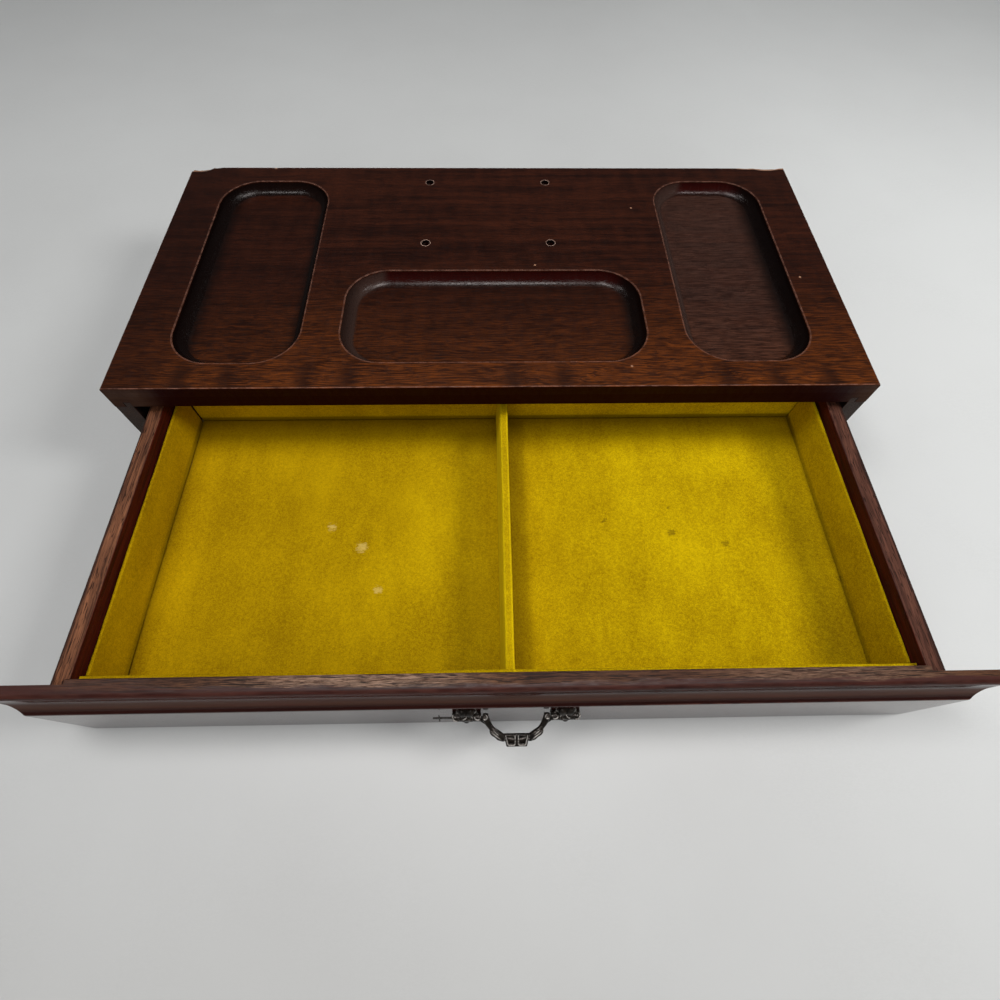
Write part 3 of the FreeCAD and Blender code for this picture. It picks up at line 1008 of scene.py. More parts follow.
@dataclass(frozen=True)
class MouldedFrontFinish:
    """Wine-red stain under gloss lacquer, worn to rough brown wood on the ledge behind the lip."""

    lip_y: float
    field_y: float
    top_z: float
    pale_patches: tuple[tuple[float, float, float], ...] = ((-62, 42, 1.0), (150, 44, 0.7))
    dim_patches: tuple[tuple[float, float, float], ...] = ((22, 14, 1.0), (68, 30, 0.8), (-168, 22, 1.0))
    red: tuple[Colour, Colour] = ((0.014, 0.0026, 0.0016), (0.058, 0.0100, 0.0055))
    bare: tuple[Colour, Colour] = ((0.024, 0.0070, 0.0030), (0.165, 0.068, 0.028))
    face_red: Colour = (0.022, 0.0030, 0.0024)
    dust_and_painted_light: Colour = (0.058, 0.023, 0.010)
    pale: Colour = (0.42, 0.265, 0.185)
    dim: Colour = (0.034, 0.0090, 0.0050)
    amber: Colour = (0.040, 0.0110, 0.0030)
    crevice: Colour = (0.007, 0.003, 0.002)
    pore: Colour = (0.008, 0.003, 0.002)
    rubbed_nose: Colour = (0.12, 0.040, 0.026)
    shadow: Colour = (0.012, 0.0018, 0.0012)
    worn_arris_and_highlight: Colour = (0.15, 0.052, 0.034)

    def material(self) -> bpy.types.Material:
        """Build the material.

        Returns:
            The material.
        """
        graph = Graph("moulded_front_wood")
        place = graph.place()
        x, y, z = graph.axes(place)
        _, ny, _ = graph.facing()
        wood = Fibres(Grain.ACROSS_THE_BOX, fibre=(0.5, 40.0), pore=(0.4, 9.0), streak=(5.0, 160.0),
                      shift=44.0)
        fibres, streaks, pores, _ = wood.draw(graph, place)
        tone = contrast(fibres * 0.4 + streaks * 0.6, 2.6)
        red = graph.blend(tone, *self.red)
        face = (0 - y).above(-self.field_y - 0.4, 0.3)
        colour = graph.blend(face * 0.6, red, self.face_red)
        hollow = (0 - y).between(-self.lip_y + 0.6, -self.field_y - 1.4, 0.5)
        # partly dust in the hollow and partly painted reflection: the cove is lightened to a grey-brown that
        # stands in for the pale floor mirrored in it
        dust_and_reflection_streaks = contrast(graph.noise(place, (26, 1.6, 1.6), 3.0, 0.65, 5.0), 2.0)
        colour = graph.blend(hollow * (0.3 + dust_and_reflection_streaks * 0.4), colour, self.dust_and_painted_light)

        fray = (graph.noise(place, (38, 2.2, 2.2), 4.0, 0.7, 8.8) - 0.5) * 7.0
        reach = x.above(-196, 16) * 0.5 + x.above(-160, 12) * 0.5
        ledge = (y + fray).above(-257.6, 0.7) * z.above(self.top_z - 1.2, 0.4) * reach
        grit = graph.noise(place, (6, 0.38, 0.38), 3.0, 0.75, 1.0)
        bare_tone = contrast(fibres * 0.35 + grit * 0.5 + streaks * 0.15, 5.0)
        bare = graph.blend(bare_tone, *self.bare)
        pale, dim = self._patches(x, self.pale_patches), self._patches(x, self.dim_patches)
        colour = graph.blend(ledge, colour, bare)
        colour = graph.blend(ledge * pale * contrast(grit, 4.0) * 0.75, colour, self.pale)
        colour = graph.blend(ledge * dim * 0.55, colour, self.dim)
        colour = graph.blend(ledge * x.above(60, 70) * 0.4, colour, self.amber)
        crevices = graph.noise(place, (16, 0.55, 0.55), 2.0, 0.6, 12.0).above(0.60, 0.03)
        colour = graph.blend(ledge * crevices * 0.85, colour, self.crevice)
        colour = graph.blend(pores * (0.12 + ledge * 0.6), colour, self.pore)

        broken = contrast(graph.noise(place, (11, 3, 3), 3.0, 0.7, 3.0), 3.2)
        nose = (0 - y).above(-self.lip_y - 2.7, 0.4) * z.above(self.top_z - 1.6, 0.5) * ny.below(-0.10, 0.1)
        colour = graph.blend(nose * broken * 0.25, colour, self.rubbed_nose)
        foot = (0 - y).between(-self.field_y - 2.2, -self.field_y - 0.02, 0.5)
        colour = graph.blend(foot * 0.75, colour, self.shadow)
        # partly wear and partly painted highlight: a broken pale line along the field's arris, stronger towards
        # the right
        arris = (0 - y).between(-self.field_y - 0.45, -self.field_y - 0.02, 0.1)
        arris = arris * broken * (0.15 + x.above(60, 60) * 0.35)
        colour = graph.blend(arris, colour, self.worn_arris_and_highlight)

        height = fibres * (0.15 + ledge) - pores * (0.2 + ledge * 1.2)
        height = height + graph.noise(place, (40, 9, 9), 1.0) * 0.8 - ledge * crevices * 1.5
        rubbed_lip = z.above(self.top_z - 2.4, 0.8) * (0.36 + broken * 0.2)
        rough = 0.10 + hollow * 0.38 + graph.math("MAXIMUM", ledge * 0.65, rubbed_lip)
        rough = rough + (graph.noise(place, 22.0, 3.0, 0.6, 2.0) - 0.5) * 0.06
        return graph.surface(Base_Color=colour, Roughness=rough, Normal=graph.bump(height, 0.08, 0.5),
                             Specular_IOR_Level=0.34)

    @staticmethod
    def _patches(x: Signal, patches: Sequence[tuple[float, float, float]]) -> Signal:
        """Soft masks round some places along the front.

        Args:
            x: Place across the box.
            patches: Middle, half width and strength of each.

        Returns:
            Their mask.
        """
        masks = [abs(x - middle).below(half, half * 0.6) * strength for middle, half, strength in patches]
        return sum(masks[1:], masks[0])


@dataclass(frozen=True)
class VelvetFinish:
    """Mustard-gold velvet with a mottled nap, a few pale stains and dark specks."""

    name: str = "mustard_velvet"
    shade: Colour = (0.25, 0.136, 0.0010)
    full: Colour = (0.60, 0.372, 0.0022)
    painted_light_lemon: Colour = (0.76, 0.530, 0.0026)
    # foot and dim are painted shade, put on the pile by the cards' feet and under the top
    foot: Colour = (0.10, 0.052, 0.0008)
    dim: Colour = (0.14, 0.076, 0.0008)
    brushed_and_painted_light: Colour = (0.90, 0.66, 0.006)
    stain: Colour = (0.78, 0.56, 0.16)
    speck: Colour = (0.11, 0.060, 0.004)
    pale_stains: tuple[tuple[float, float, float], ...] = ((-96.1, -161.3, 1.9), (-77.3, -174.2, 2.6),
                                                           (-65.8, -200.2, 1.6))
    dark_specks: tuple[tuple[float, float, float], ...] = ((64.0, -158.6, 0.9), (103.4, -151.0, 0.8),
                                                           (103.1, -166.9, 2.0), (133.5, -174.4, 1.7),
                                                           (194.6, -196.7, 1.6))
    left: float = -189.5
    right: float = 193.9
    back: float = -82.6
    under_top: float = -104.0
    divider: float = 5.2
    divider_half: float = 3.8
    floor_z: float = 25.0

    def material(self) -> bpy.types.Material:
        """Build the material.

        Returns:
            The material.
        """
        graph = Graph(self.name)
        place = graph.place()
        x, y, z = graph.axes(place)
        nap = graph.noise(place, 0.55, 3.0, 0.75)
        tufts = graph.noise(place, 1.7, 3.0, 0.65, 2.0)
        brushed_and_painted_light = graph.noise(place, (16, 42, 16), 3.0, 0.6, 5.0)
        rubbed = graph.noise(place, 60.0, 2.0, 0.5, 8.0)
        tone = contrast(nap * 0.46 + tufts * 0.22 + brushed_and_painted_light * 0.17 + rubbed * 0.15, 2.9)
        # painted light: the pile turns brighter and more lemon towards the right, where the key lamp stands
        colour = graph.blend(tone, self.shade, graph.blend(x.above(0, 170), self.full, self.painted_light_lemon))
        fuzz = (graph.noise(place, (2.6, 1.3, 2.0), 3.0, 0.7, 4.4) - 0.5) * 9.0
        for mark_x, mark_y, radius in self.pale_stains:
            stain = graph.vector("DISTANCE", place, (mark_x, mark_y, self.floor_z), "Value") + fuzz
            colour = graph.blend(stain.below(radius, 1.2) * (0.3 + nap * 0.5), colour, self.stain)
        for mark_x, mark_y, radius in self.dark_specks:
            speck = graph.vector("DISTANCE", place, (mark_x, mark_y, self.floor_z), "Value") + fuzz
            colour = graph.blend(speck.below(radius, 0.9) * 0.6, colour, self.speck)
        colour = self._shades(graph, x, y, z, colour)
        height = nap * 0.5 + tufts * 0.5
        return graph.surface(Base_Color=colour, Roughness=0.85 + nap * 0.15,
                             Normal=graph.bump(height, 0.40, 0.65), Specular_IOR_Level=0.03,
                             Sheen_Weight=0.22, Sheen_Roughness=0.35, Sheen_Tint=(0.95, 0.80, 0.02, 1.0))

    def _shades(self, graph: Graph, x: Signal, y: Signal, z: Signal, colour: Signal) -> Signal:
        """Darken the pile with painted shade by the cards' feet and under the top, and lighten the divider's ridge
        and left slope with painted light.

        Args:
            graph: The material.
            x: Place across the box.
            y: Place to the back.
            z: Height.
            colour: Colour of the pile.

        Returns:
            The changed colour.
        """
        on_floor, raised = z.below(self.floor_z + 2.2, 1.2), z.above(self.floor_z + 3.5, 1.5)
        beside = x - self.divider
        # painted shade: the floor pile is darkened along the side cards, the back card and right of the divider,
        # where their shadows fall
        near = (0 - x).above(-self.left - 1.8, 1.8) * 0.55 + x.above(self.right - 1.8, 1.8) * 0.5
        near = near + y.above(self.back - 5.5, 6.0)
        near = near + beside.between(self.divider_half - 1.0, self.divider_half + 9.0, 2.2) * 0.55
        colour = graph.blend(graph.math("MINIMUM", near, 1.0) * on_floor * 0.55, colour, self.foot)
        # painted shade: the pile under the top board's overhang is darkened
        colour = graph.blend(y.above(self.under_top, 10) * on_floor * 0.42, colour, self.dim)
        nx, _, nz = graph.facing()
        # painted light: the divider's left slope and the line along its top are lightened
        ridge = abs(beside).below(5.4, 0.3) * raised * (0.04 + (0 - nx).above(0.2, 0.2) * 0.4)
        ridge = ridge + beside.between(1.3, 2.5, 0.3) * nz.above(0.6, 0.2) * raised * 0.45
        return graph.blend(ridge, colour, self.brushed_and_painted_light)


@dataclass(frozen=True)
class CastBronzeFinish:
    """Bronze with a dark patina, rubbed bright on its high spots."""

    name: str = "antique_bronze"
    patina: Colour = (0.0065, 0.0052, 0.0044)
    brown: Colour = (0.026, 0.0190, 0.0140)
    metal: Colour = (0.40, 0.37, 0.34)
    rubbing: float = 1.0
    metallic: float = 0.45
    gloss: float = 0.5
    top: float = 100.0
    sharp: tuple[float, float] = (0.545, 0.022)
    face: tuple[Point, float] | None = None

    def material(self) -> bpy.types.Material:
        """Build the material.

        Returns:
            The material.
        """
        graph = Graph(self.name)
        place = graph.place()
        _, _, z = graph.axes(place)
        raised = graph.node("ShaderNodeNewGeometry", output="Pointiness").above(*self.sharp)
        if self.face:
            raised = graph.math("MAXIMUM", raised * 0.5, self._proud(graph, place))
        grime = graph.noise(place, 0.9, 3.0, 0.65)
        rubbed = raised * contrast(grime + 0.08, 2.6) * z.below(self.top, 0.3) * self.rubbing
        colour = graph.blend(contrast(graph.noise(place, 2.6, 3.0, 0.6, 3.0), 2.0), self.patina, self.brown)
        colour = graph.blend(rubbed, colour, self.metal)
        rough = 0.34 + (grime - 0.5) * 0.3
        pits = graph.noise(place, 0.5, 3.0, 0.7)
        metallic = (1 - rubbed * 0.6) * self.metallic
        return graph.surface(Base_Color=colour, Roughness=rough, Metallic=metallic,
                             Normal=graph.bump(pits, 0.05, 0.6), Specular_IOR_Level=self.gloss)

    def _proud(self, graph: Graph, place: Signal) -> Signal:
        """Mask of what stands highest towards the hand: fingers rub it bright."""
        direction, level = self.face
        return graph.vector("DOT_PRODUCT", place, direction, "Value").above(level, 0.14)


@dataclass(frozen=True)
class SteelFinish:
    """Plain steel, dulled in patches."""

    name: str = "plain_steel"
    bright: Colour = (0.42, 0.41, 0.40)
    rusty: Colour = (0.16, 0.12, 0.09)

    def material(self) -> bpy.types.Material:
        """Build the material.

        Returns:
            The material.
        """
        graph = Graph(self.name)
        place = graph.place()
        dull = contrast(graph.noise(place, 0.9, 3.0, 0.6), 2.0)
        colour = graph.blend(dull, self.bright, self.rusty)
        return graph.surface(Base_Color=colour, Roughness=0.3 + dull * 0.35, Metallic=1.0,
                             Normal=graph.bump(graph.noise(place, 0.3, 2.0), 0.02, 0.5))


@dataclass(frozen=True)
class PlyFinish:
    """Raw plywood, its layers showing on the cut edges."""

    name: str = "raw_plywood"
    wood: tuple[Colour, Colour] = ((0.32, 0.19, 0.095), (0.52, 0.36, 0.20))
    layer: Colour = (0.20, 0.11, 0.055)
    pore: Colour = (0.12, 0.06, 0.03)
    thickness: float = 1.33

    def material(self) -> bpy.types.Material:
        """Build the material.

        Returns:
            The material.
        """
        graph = Graph(self.name)
        place = graph.place()
        _, _, z = graph.axes(place)
        fibres, streaks, pores, _ = Fibres(Grain.ACROSS_THE_BOX, shift=70.0, waver=8.0).draw(graph, place)
        tone = contrast(fibres * 0.4 + streaks * 0.6, 2.0)
        colour = graph.blend(tone, *self.wood)
        _, _, nz = graph.facing()
        layer = graph.math("PINGPONG", z, self.thickness).above(0.66, 0.1) * abs(nz).below(0.5, 0.1)
        colour = graph.blend(layer * 0.6, colour, self.layer)
        colour = graph.blend(pores * 0.4, colour, self.pore)
        return graph.surface(Base_Color=colour, Roughness=0.7 + (fibres - 0.5) * 0.2,
                             Normal=graph.bump(fibres - pores, 0.06, 0.6))


@dataclass(frozen=True)
class TableFinish:
    """Pale, slightly worn table top, with painted light and shade across it."""

    name: str = "pale_table"
    paint: tuple[Colour, Colour] = ((0.60, 0.60, 0.595), (0.66, 0.665, 0.66))
    lit: Colour = (0.84, 0.85, 0.845)
    dim: Colour = (0.50, 0.49, 0.475)
    scuff: Colour = (0.38, 0.38, 0.37)

    def material(self) -> bpy.types.Material:
        """Build the material.

        Returns:
            The material.
        """
        graph = Graph(self.name)
        place = graph.place()
        clouds = graph.noise(place, 160.0, 4.0, 0.55)
        scuffs = contrast(graph.noise(place, (3.0, 1.2, 1.0), 3.0, 0.7, 3.0, 1.5), 6.0)
        worn = contrast(graph.noise(place, 70.0, 2.0, 0.5, 5.0), 3.0)
        colour = graph.blend(contrast(clouds, 1.2), *self.paint)
        x, y, _ = graph.axes(place)
        # painted light and shade: the floor is lightened towards the back and the right, and dimmed at the front,
        # most on the left
        bright = y.above(100, 300) * 0.55 + x.above(260, 220) * 0.6
        colour = graph.blend(graph.math("MINIMUM", bright, 1.0), colour, self.lit)
        dull = y.below(-330, 110) * (0.55 - x.above(50, 200) * 0.25)
        colour = graph.blend(dull, colour, self.dim)
        colour = graph.blend(scuffs * worn * 0.05, colour, self.scuff)
        return graph.surface(Base_Color=colour, Roughness=0.34 + clouds * 0.2,
                             Normal=graph.bump(clouds, 0.4, 0.3), Specular_IOR_Level=0.35)


# ---- sub-assemblies ----


@dataclass
class Case:
    """Fixed case: carved top on two sides, with a back, a bottom and two kicker strips."""

    half_width: float = 216.0
    half_depth: float = 103.0
    height: float = 80.0
    underside: float = 65.0
    inner_x: float = 205.7
    arris: float = 0.8
    tray_floor: float = 73.0
    tray_corner: float = 25.4
    tray_cove: float = 8.0
    tray_front: float = -84.5
    side_tray_x: float = 150.5
    side_tray: tuple[float, float] = (74.0, 170.5)
    centre_tray: tuple[float, float] = (181.0, 76.5)
    rim: float = 0.7
    hole_radius: float = 2.3
    hole_x: tuple[float, float] = (-44.15, 38.15)
    hole_y: tuple[float, float] = (18.7, 84.7)
    tongue: tuple[float, float] = (4.1, 3.7)
    chips: tuple[tuple[Point, Point], ...] = (
        ((-211.0, 104.6, 81.6), (12.5, 8.0, 4.2)), ((-199.0, 104.5, 81.2), (8.0, 3.6, 2.4)),
        ((203.0, 105.2, 81.6), (15.0, 7.0, 3.0)), ((188.0, 104.6, 81.0), (11.0, 3.4, 1.9)),
        ((-156.0, 103.6, 80.3), (2.4, 1.8, 1.2)), ((-169.5, 66.5, 79.9), (1.5, 1.0, 0.8)))
    body: str = "case"

    def build(self) -> None:
        """Build and dress every piece of the case."""
        finish = CarvedTopFinish(self.height, self.tray_floor, self.tray_corner, self._tray_plans(),
                                 tuple((x, y) for x in self.hole_x for y in self.hole_y))
        settle(self.top_board(), finish.material(), self.body, "top_wood", "top_board")
        dark = StainedBoardFinish("case_wood", Grain.FRONT_TO_BACK, (0.0075, 0.0040, 0.0034),
                                  (0.025, 0.0125, 0.0100), coat=0.0, shift=11.0, gloss=0.12,
                                  end=(0.046, 0.021, 0.012)).material()
        across = StainedBoardFinish("case_wood_across", Grain.ACROSS_THE_BOX, (0.014, 0.0062, 0.0046),
                                    (0.048, 0.0200, 0.0130), roughness=0.5, coat=0.0, shift=15.0).material()
        for side in Side:
            plank("case_side_" + side.word, dark, self.body, "case_wood")
        for node in ("case_back", "case_bottom"):
            plank(node, across, self.body, "case_wood")
        plain = StainedBoardFinish("kicker_wood", Grain.FRONT_TO_BACK, (0.07, 0.030, 0.016),
                                   (0.20, 0.095, 0.05), roughness=0.6, coat=0.0, shift=18.0).material()
        for side in Side:
            dress("kicker_" + side.word, plain)
        steel = SteelFinish().material()
        for node in ("case_back_brads", "case_bottom_brads"):
            dress(node, steel)

    def _tray_plans(self) -> tuple[tuple[float, float, float, float], ...]:
        """Middle and half widths of the left, centre and right tray, across the box and to the back.

        Returns:
            One row for each tray.
        """
        plans = []
        for x, (width, length) in ((-self.side_tray_x, self.side_tray), (0.0, self.centre_tray),
                                   (self.side_tray_x, self.side_tray)):
            plans.append((x, self.tray_front + length / 2, width / 2, length / 2))
        return tuple(plans)

    def top_board(self) -> Piece:
        """Carve the top: trays, screw holes, tongue grooves and the broken back corners.

        Returns:
            The piece.
        """
        board = Bench.block("carved_top", (-self.half_width, -self.half_depth, self.underside),
                            (self.half_width, self.half_depth, self.height))
        with Bench.editing(board):
            Bench.pick(Pick.EDGES, lambda edge: all(v.co.z > (self.height - 0.1) * MM for v in edge.verts))
            Bench.bevel(self.arris, 4)
        cutters = [self._tray("centre_tray_cutter", 0.0, self.centre_tray)]
        for side in Side:
            cutters.append(self._tray("side_tray_cutter", side.value * self.side_tray_x, self.side_tray))
            near, far = sorted((side.value * self.inner_x, side.value * (self.inner_x + self.tongue[0])))
            cutters.append(Bench.block("groove_cutter", (near, -self.half_depth - 1, self.underside - 1),
                                       (far, self.half_depth + 1, self.underside + self.tongue[1])))
        for x in self.hole_x:
            for y in self.hole_y:
                cutters.append(Bench.rod("hole_cutter", (x, y, self.underside - 1), (x, y, self.height + 1),
                                         self.hole_radius))
        Bench.carve(board, cutters)
        with Bench.editing(board):
            Bench.pick(Pick.EDGES, self._is_rim)
            Bench.bevel(self.rim, 3)
        Bench.carve(board, self._chips())
        Bench.shade(board, 32)
        return board

    def _is_rim(self, edge: bmesh.types.BMEdge) -> bool:
        """Tell whether an edge lies round a tray or a hole, at the top.

        Args:
            edge: The edge.

        Returns:
            True if it does.
        """
        high = all(abs(v.co.z - self.height * MM) < 0.01 * MM for v in edge.verts)
        inside = all(abs(v.co.x) < (self.half_width - 2) * MM and abs(v.co.y) < (self.half_depth - 2) * MM
                     for v in edge.verts)
        return high and inside and edge.calc_face_angle(0.0) > math.radians(15)

    def _tray(self, name: str, x: float, size: tuple[float, float]) -> Piece:
        """Make the cutter of one tray, with round corners and a coved foot.

        Args:
            name: Name of the cutter.
            x: Its middle across the box.
            size: Its width and length.

        Returns:
            The cutter.
        """
        width, length = size
        high = self.tray_floor + self.tray_cove + 1
        cutter = Bench.block(name, (x - width / 2, self.tray_front, self.tray_floor),
                             (x + width / 2, self.tray_front + length, high))
        with Bench.editing(cutter):
            Bench.pick(Pick.EDGES, lambda edge: abs(edge.verts[0].co.z - edge.verts[1].co.z) > MM)
            Bench.bevel(self.tray_corner, 20)
            Bench.pick(Pick.EDGES, lambda edge: all(v.co.z < (self.tray_floor + 0.01) * MM for v in edge.verts)
                       and edge.calc_face_angle(0.0) > math.radians(60))
            Bench.bevel(self.tray_cove, 10)
        return cutter

    def _chips(self) -> list[Piece]:
        """Make the flat lumps that break the back corners, and those that nick the back arris and a tray.

        Returns:
            The lumps.
        """
        lumps = []
        for centre, radii in self.chips:
            lump = Bench.ball("chip", centre, radii, rings=14)
            Bench.swell(lump, 1.8, 0.9)
            lumps.append(lump)
        return lumps


@dataclass(frozen=True)
class Moulding:
    """Section of the drawer front's edge: nose, cove and a rounded arris, in millimetres."""

    nose: float = 2.5
    cove: float = 12.7
    arris: float = 1.2
    rise: float = 4.9
    lip: float = 6.2

    def points(self) -> list[tuple[float, float]]:
        """Walk the section from the raised field out to the back of the lip.

        Returns:
            Distance in from the board's edge, and rise above the lip, of each point.
        """
        arris_rise = self.rise - self.arris
        run = math.sqrt((self.cove + self.arris) ** 2 - (self.cove - arris_rise) ** 2)
        arris_centre = (self.nose + run, arris_rise)
        cove_centre = (self.nose, self.cove)
        meet = math.atan2(cove_centre[1] - arris_centre[1], cove_centre[0] - arris_centre[0])
        walk = []
        walk += self._arc(arris_centre, self.arris, math.pi / 2, meet, 4)
        walk += self._arc(cove_centre, self.cove, meet - math.pi, -math.pi / 2, 14)
        walk += self._arc((self.nose, -self.nose), self.nose, math.pi / 2, math.pi, 7)
        walk.append((0.0, -self.lip))
        return walk

    @staticmethod
    def _arc(centre: tuple[float, float], radius: float, start: float, end: float,
             steps: int) -> list[tuple[float, float]]:
        """Points along an arc, its first point left to the arc before it.

        Args:
            centre: Centre of the arc.
            radius: Its radius.
            start: Angle at which it starts.
            end: Angle at which it ends.
            steps: How many points.

        Returns:
            The points.
        """
        angles = [start + (end - start) * step / steps for step in range(1, steps + 1)]
        return [(centre[0] + radius * math.cos(a), centre[1] + radius * math.sin(a)) for a in angles]


@dataclass
class Drawer:
    """Drawer box with its moulded front."""

    centre_x: float = 2.2
    half_width: float = 202.5
    inner_half: float = 194.2
    front_half: float = 228.5
    front_low: float = 1.0
    front_high: float = 63.0
    lip_y: float = -261.2
    back_of_front_y: float = -255.0
    ledge_y: float = -252.5
    foot_z: float = 8.5
    top_z: float = 60.0
    field_y: float = -266.1
    pull_x: float = 7.8
    post_spacing: float = 23.5
    side_tongue: float = 4.1
    groove_z: tuple[float, float] = (19.0, 23.0)
    groove_depth: float = 3.0
    screw_z: float = 35.0
    screw_radius: float = 1.8
    screw_head: tuple[float, float] = (3.8, 1.8)
    moulding: Moulding = field(default_factory=Moulding)
    body: str = "drawer"

    def build(self) -> None:
        """Build and dress every piece of the drawer box."""
        finish = MouldedFrontFinish(self.lip_y, self.field_y, self.front_high)
        settle(self.front(), finish.material(), self.body, "front_wood", "drawer_front")
        for side in Side:
            inner_x = self.centre_x + side.value * self.inner_half
            outer_x = self.centre_x + side.value * self.half_width
            finish = DrawerSideFinish(side, inner_x, outer_x, self.top_z)
            plank("drawer_side_" + side.word, finish.material(), self.body, "drawer_wood", 0.45, 6.0)
        wood = StainedBoardFinish("drawer_back_wood", Grain.ACROSS_THE_BOX, (0.035, 0.013, 0.009),
                                  (0.13, 0.058, 0.034), roughness=0.55, coat=0.0, shift=52.0, relief=0.1)
        plank("drawer_back", wood.material(), self.body, "drawer_wood")
        ply = PlyFinish().material()
        for node in ("drawer_bottom", "divider_board"):
            dress(node, ply)
        steel = SteelFinish().material()
        for node in ("drawer_brads", "handle_screws"):
            dress(node, steel)

    def front(self) -> Piece:
        """Model the front board: a raised field whose three edges are drawn out into the moulding.

        Returns:
            The piece.
        """
        section = self.moulding.points()
        inset = self.moulding.nose + math.sqrt((self.moulding.cove + self.moulding.arris) ** 2
                                               - (self.moulding.cove - self.moulding.rise
                                                  + self.moulding.arris) ** 2)
        half, height = self.front_half - inset, self.front_high - self.front_low - inset
        bpy.ops.object.select_all(action="DESELECT")
        y = self.lip_y - self.moulding.rise
        bpy.ops.mesh.primitive_plane_add(size=1.0, rotation=(math.radians(90), 0, 0),
                                         location=(self.centre_x * MM, y * MM, (self.front_low + height / 2) * MM))
        bpy.context.active_object.scale = (2 * half * MM, height * MM, 1)
        board = Bench.named("moulded_front")
        foot = (self.centre_x * MM, y * MM, self.front_low * MM)
        with Bench.editing(board):
            Bench.pick(Pick.EDGES, lambda edge: any(v.co.z > (self.front_low + 1) * MM for v in edge.verts))
            for inward, rise in section:
                new_half, new_height = self.front_half - inward, self.front_high - self.front_low - inward
                new_y = self.lip_y - rise
                bpy.ops.mesh.extrude_edges_move(TRANSFORM_OT_translate={"value": (0, (new_y - y) * MM, 0)})
                bpy.ops.transform.resize(value=(new_half / half, 1, new_height / height),
                                         center_override=foot)
                half, height, y = new_half, new_height, new_y
            self._close()
            Bench.face_out()
            self._inner_ledge()
        Bench.carve(board, self._joinery_cutters())
        Bench.shade(board, 32)
        return board

    def _close(self) -> None:
        """Close the open foot and back of the board, which is in edit mode."""
        low = (self.front_low + 0.01) * MM
        Bench.pick(Pick.EDGES, lambda edge: edge.is_boundary and all(v.co.z < low for v in edge.verts))
        bpy.ops.mesh.edge_face_add()
        Bench.pick(Pick.EDGES, lambda edge: edge.is_boundary)
        bpy.ops.mesh.edge_face_add()

    def _inner_ledge(self) -> None:
        """Thicken the board between the drawer sides, in edit mode, and soften the ledge's arris."""
        back_y = self.back_of_front_y * MM
        cuts = [((self.centre_x + side.value * self.inner_half, 0), (1, 0, 0)) for side in Side]
        for (cut_x, cut_z), normal in (*cuts, ((0, self.foot_z), (0, 0, 1))):
            Bench.pick(Pick.FACES, lambda face: all(abs(v.co.y - back_y) < 0.01 * MM for v in face.verts))
            bpy.ops.mesh.bisect(plane_co=(cut_x * MM, back_y, cut_z * MM), plane_no=normal)
        Bench.pick(Pick.FACES, lambda face: all(abs(v.co.y - back_y) < 0.01 * MM for v in face.verts)
                   and abs(face.calc_center_median().x - self.centre_x * MM) < 5 * MM
                   and face.calc_center_median().z > 2 * self.foot_z * MM)
        bpy.ops.mesh.extrude_region_move(
            TRANSFORM_OT_translate={"value": (0, (self.ledge_y - self.back_of_front_y) * MM, 0)})
        Bench.pick(Pick.EDGES, lambda edge: all(v.co.z > (self.front_high - 0.05) * MM
                                                and v.co.y > (self.ledge_y - 0.05) * MM for v in edge.verts))
        Bench.bevel(0.7, 3)

    def _joinery_cutters(self) -> list[Piece]:
        """Make the cutters of the side and bottom grooves and of the two screw bores.

        Returns:
            The cutters.
        """
        low, high = self.groove_z
        reach, head_radius, head_depth = self.inner_half + self.groove_depth, *self.screw_head
        cutters = [Bench.block("groove", (self.centre_x - reach, self.ledge_y - self.groove_depth, low),
                               (self.centre_x + reach, self.ledge_y + 1, high))]
        for side in Side:
            near, far = sorted((self.centre_x + side.value * self.inner_half,
                                self.centre_x + side.value * (self.inner_half + 4.3)))
            cutters.append(Bench.block("tongue", (near, self.back_of_front_y - self.side_tongue, self.foot_z),
                                       (far, self.back_of_front_y + 1, self.top_z)))
            x, z = self.pull_x + side.value * self.post_spacing, self.screw_z
            cutters.append(Bench.rod("bore", (x, self.field_y - 1, z), (x, self.ledge_y + 1, z),
                                     self.screw_radius))
            cutters.append(Bench.rod("pocket", (x, self.ledge_y - head_depth, z), (x, self.ledge_y + 1, z),
                                     head_radius))
        return cutters


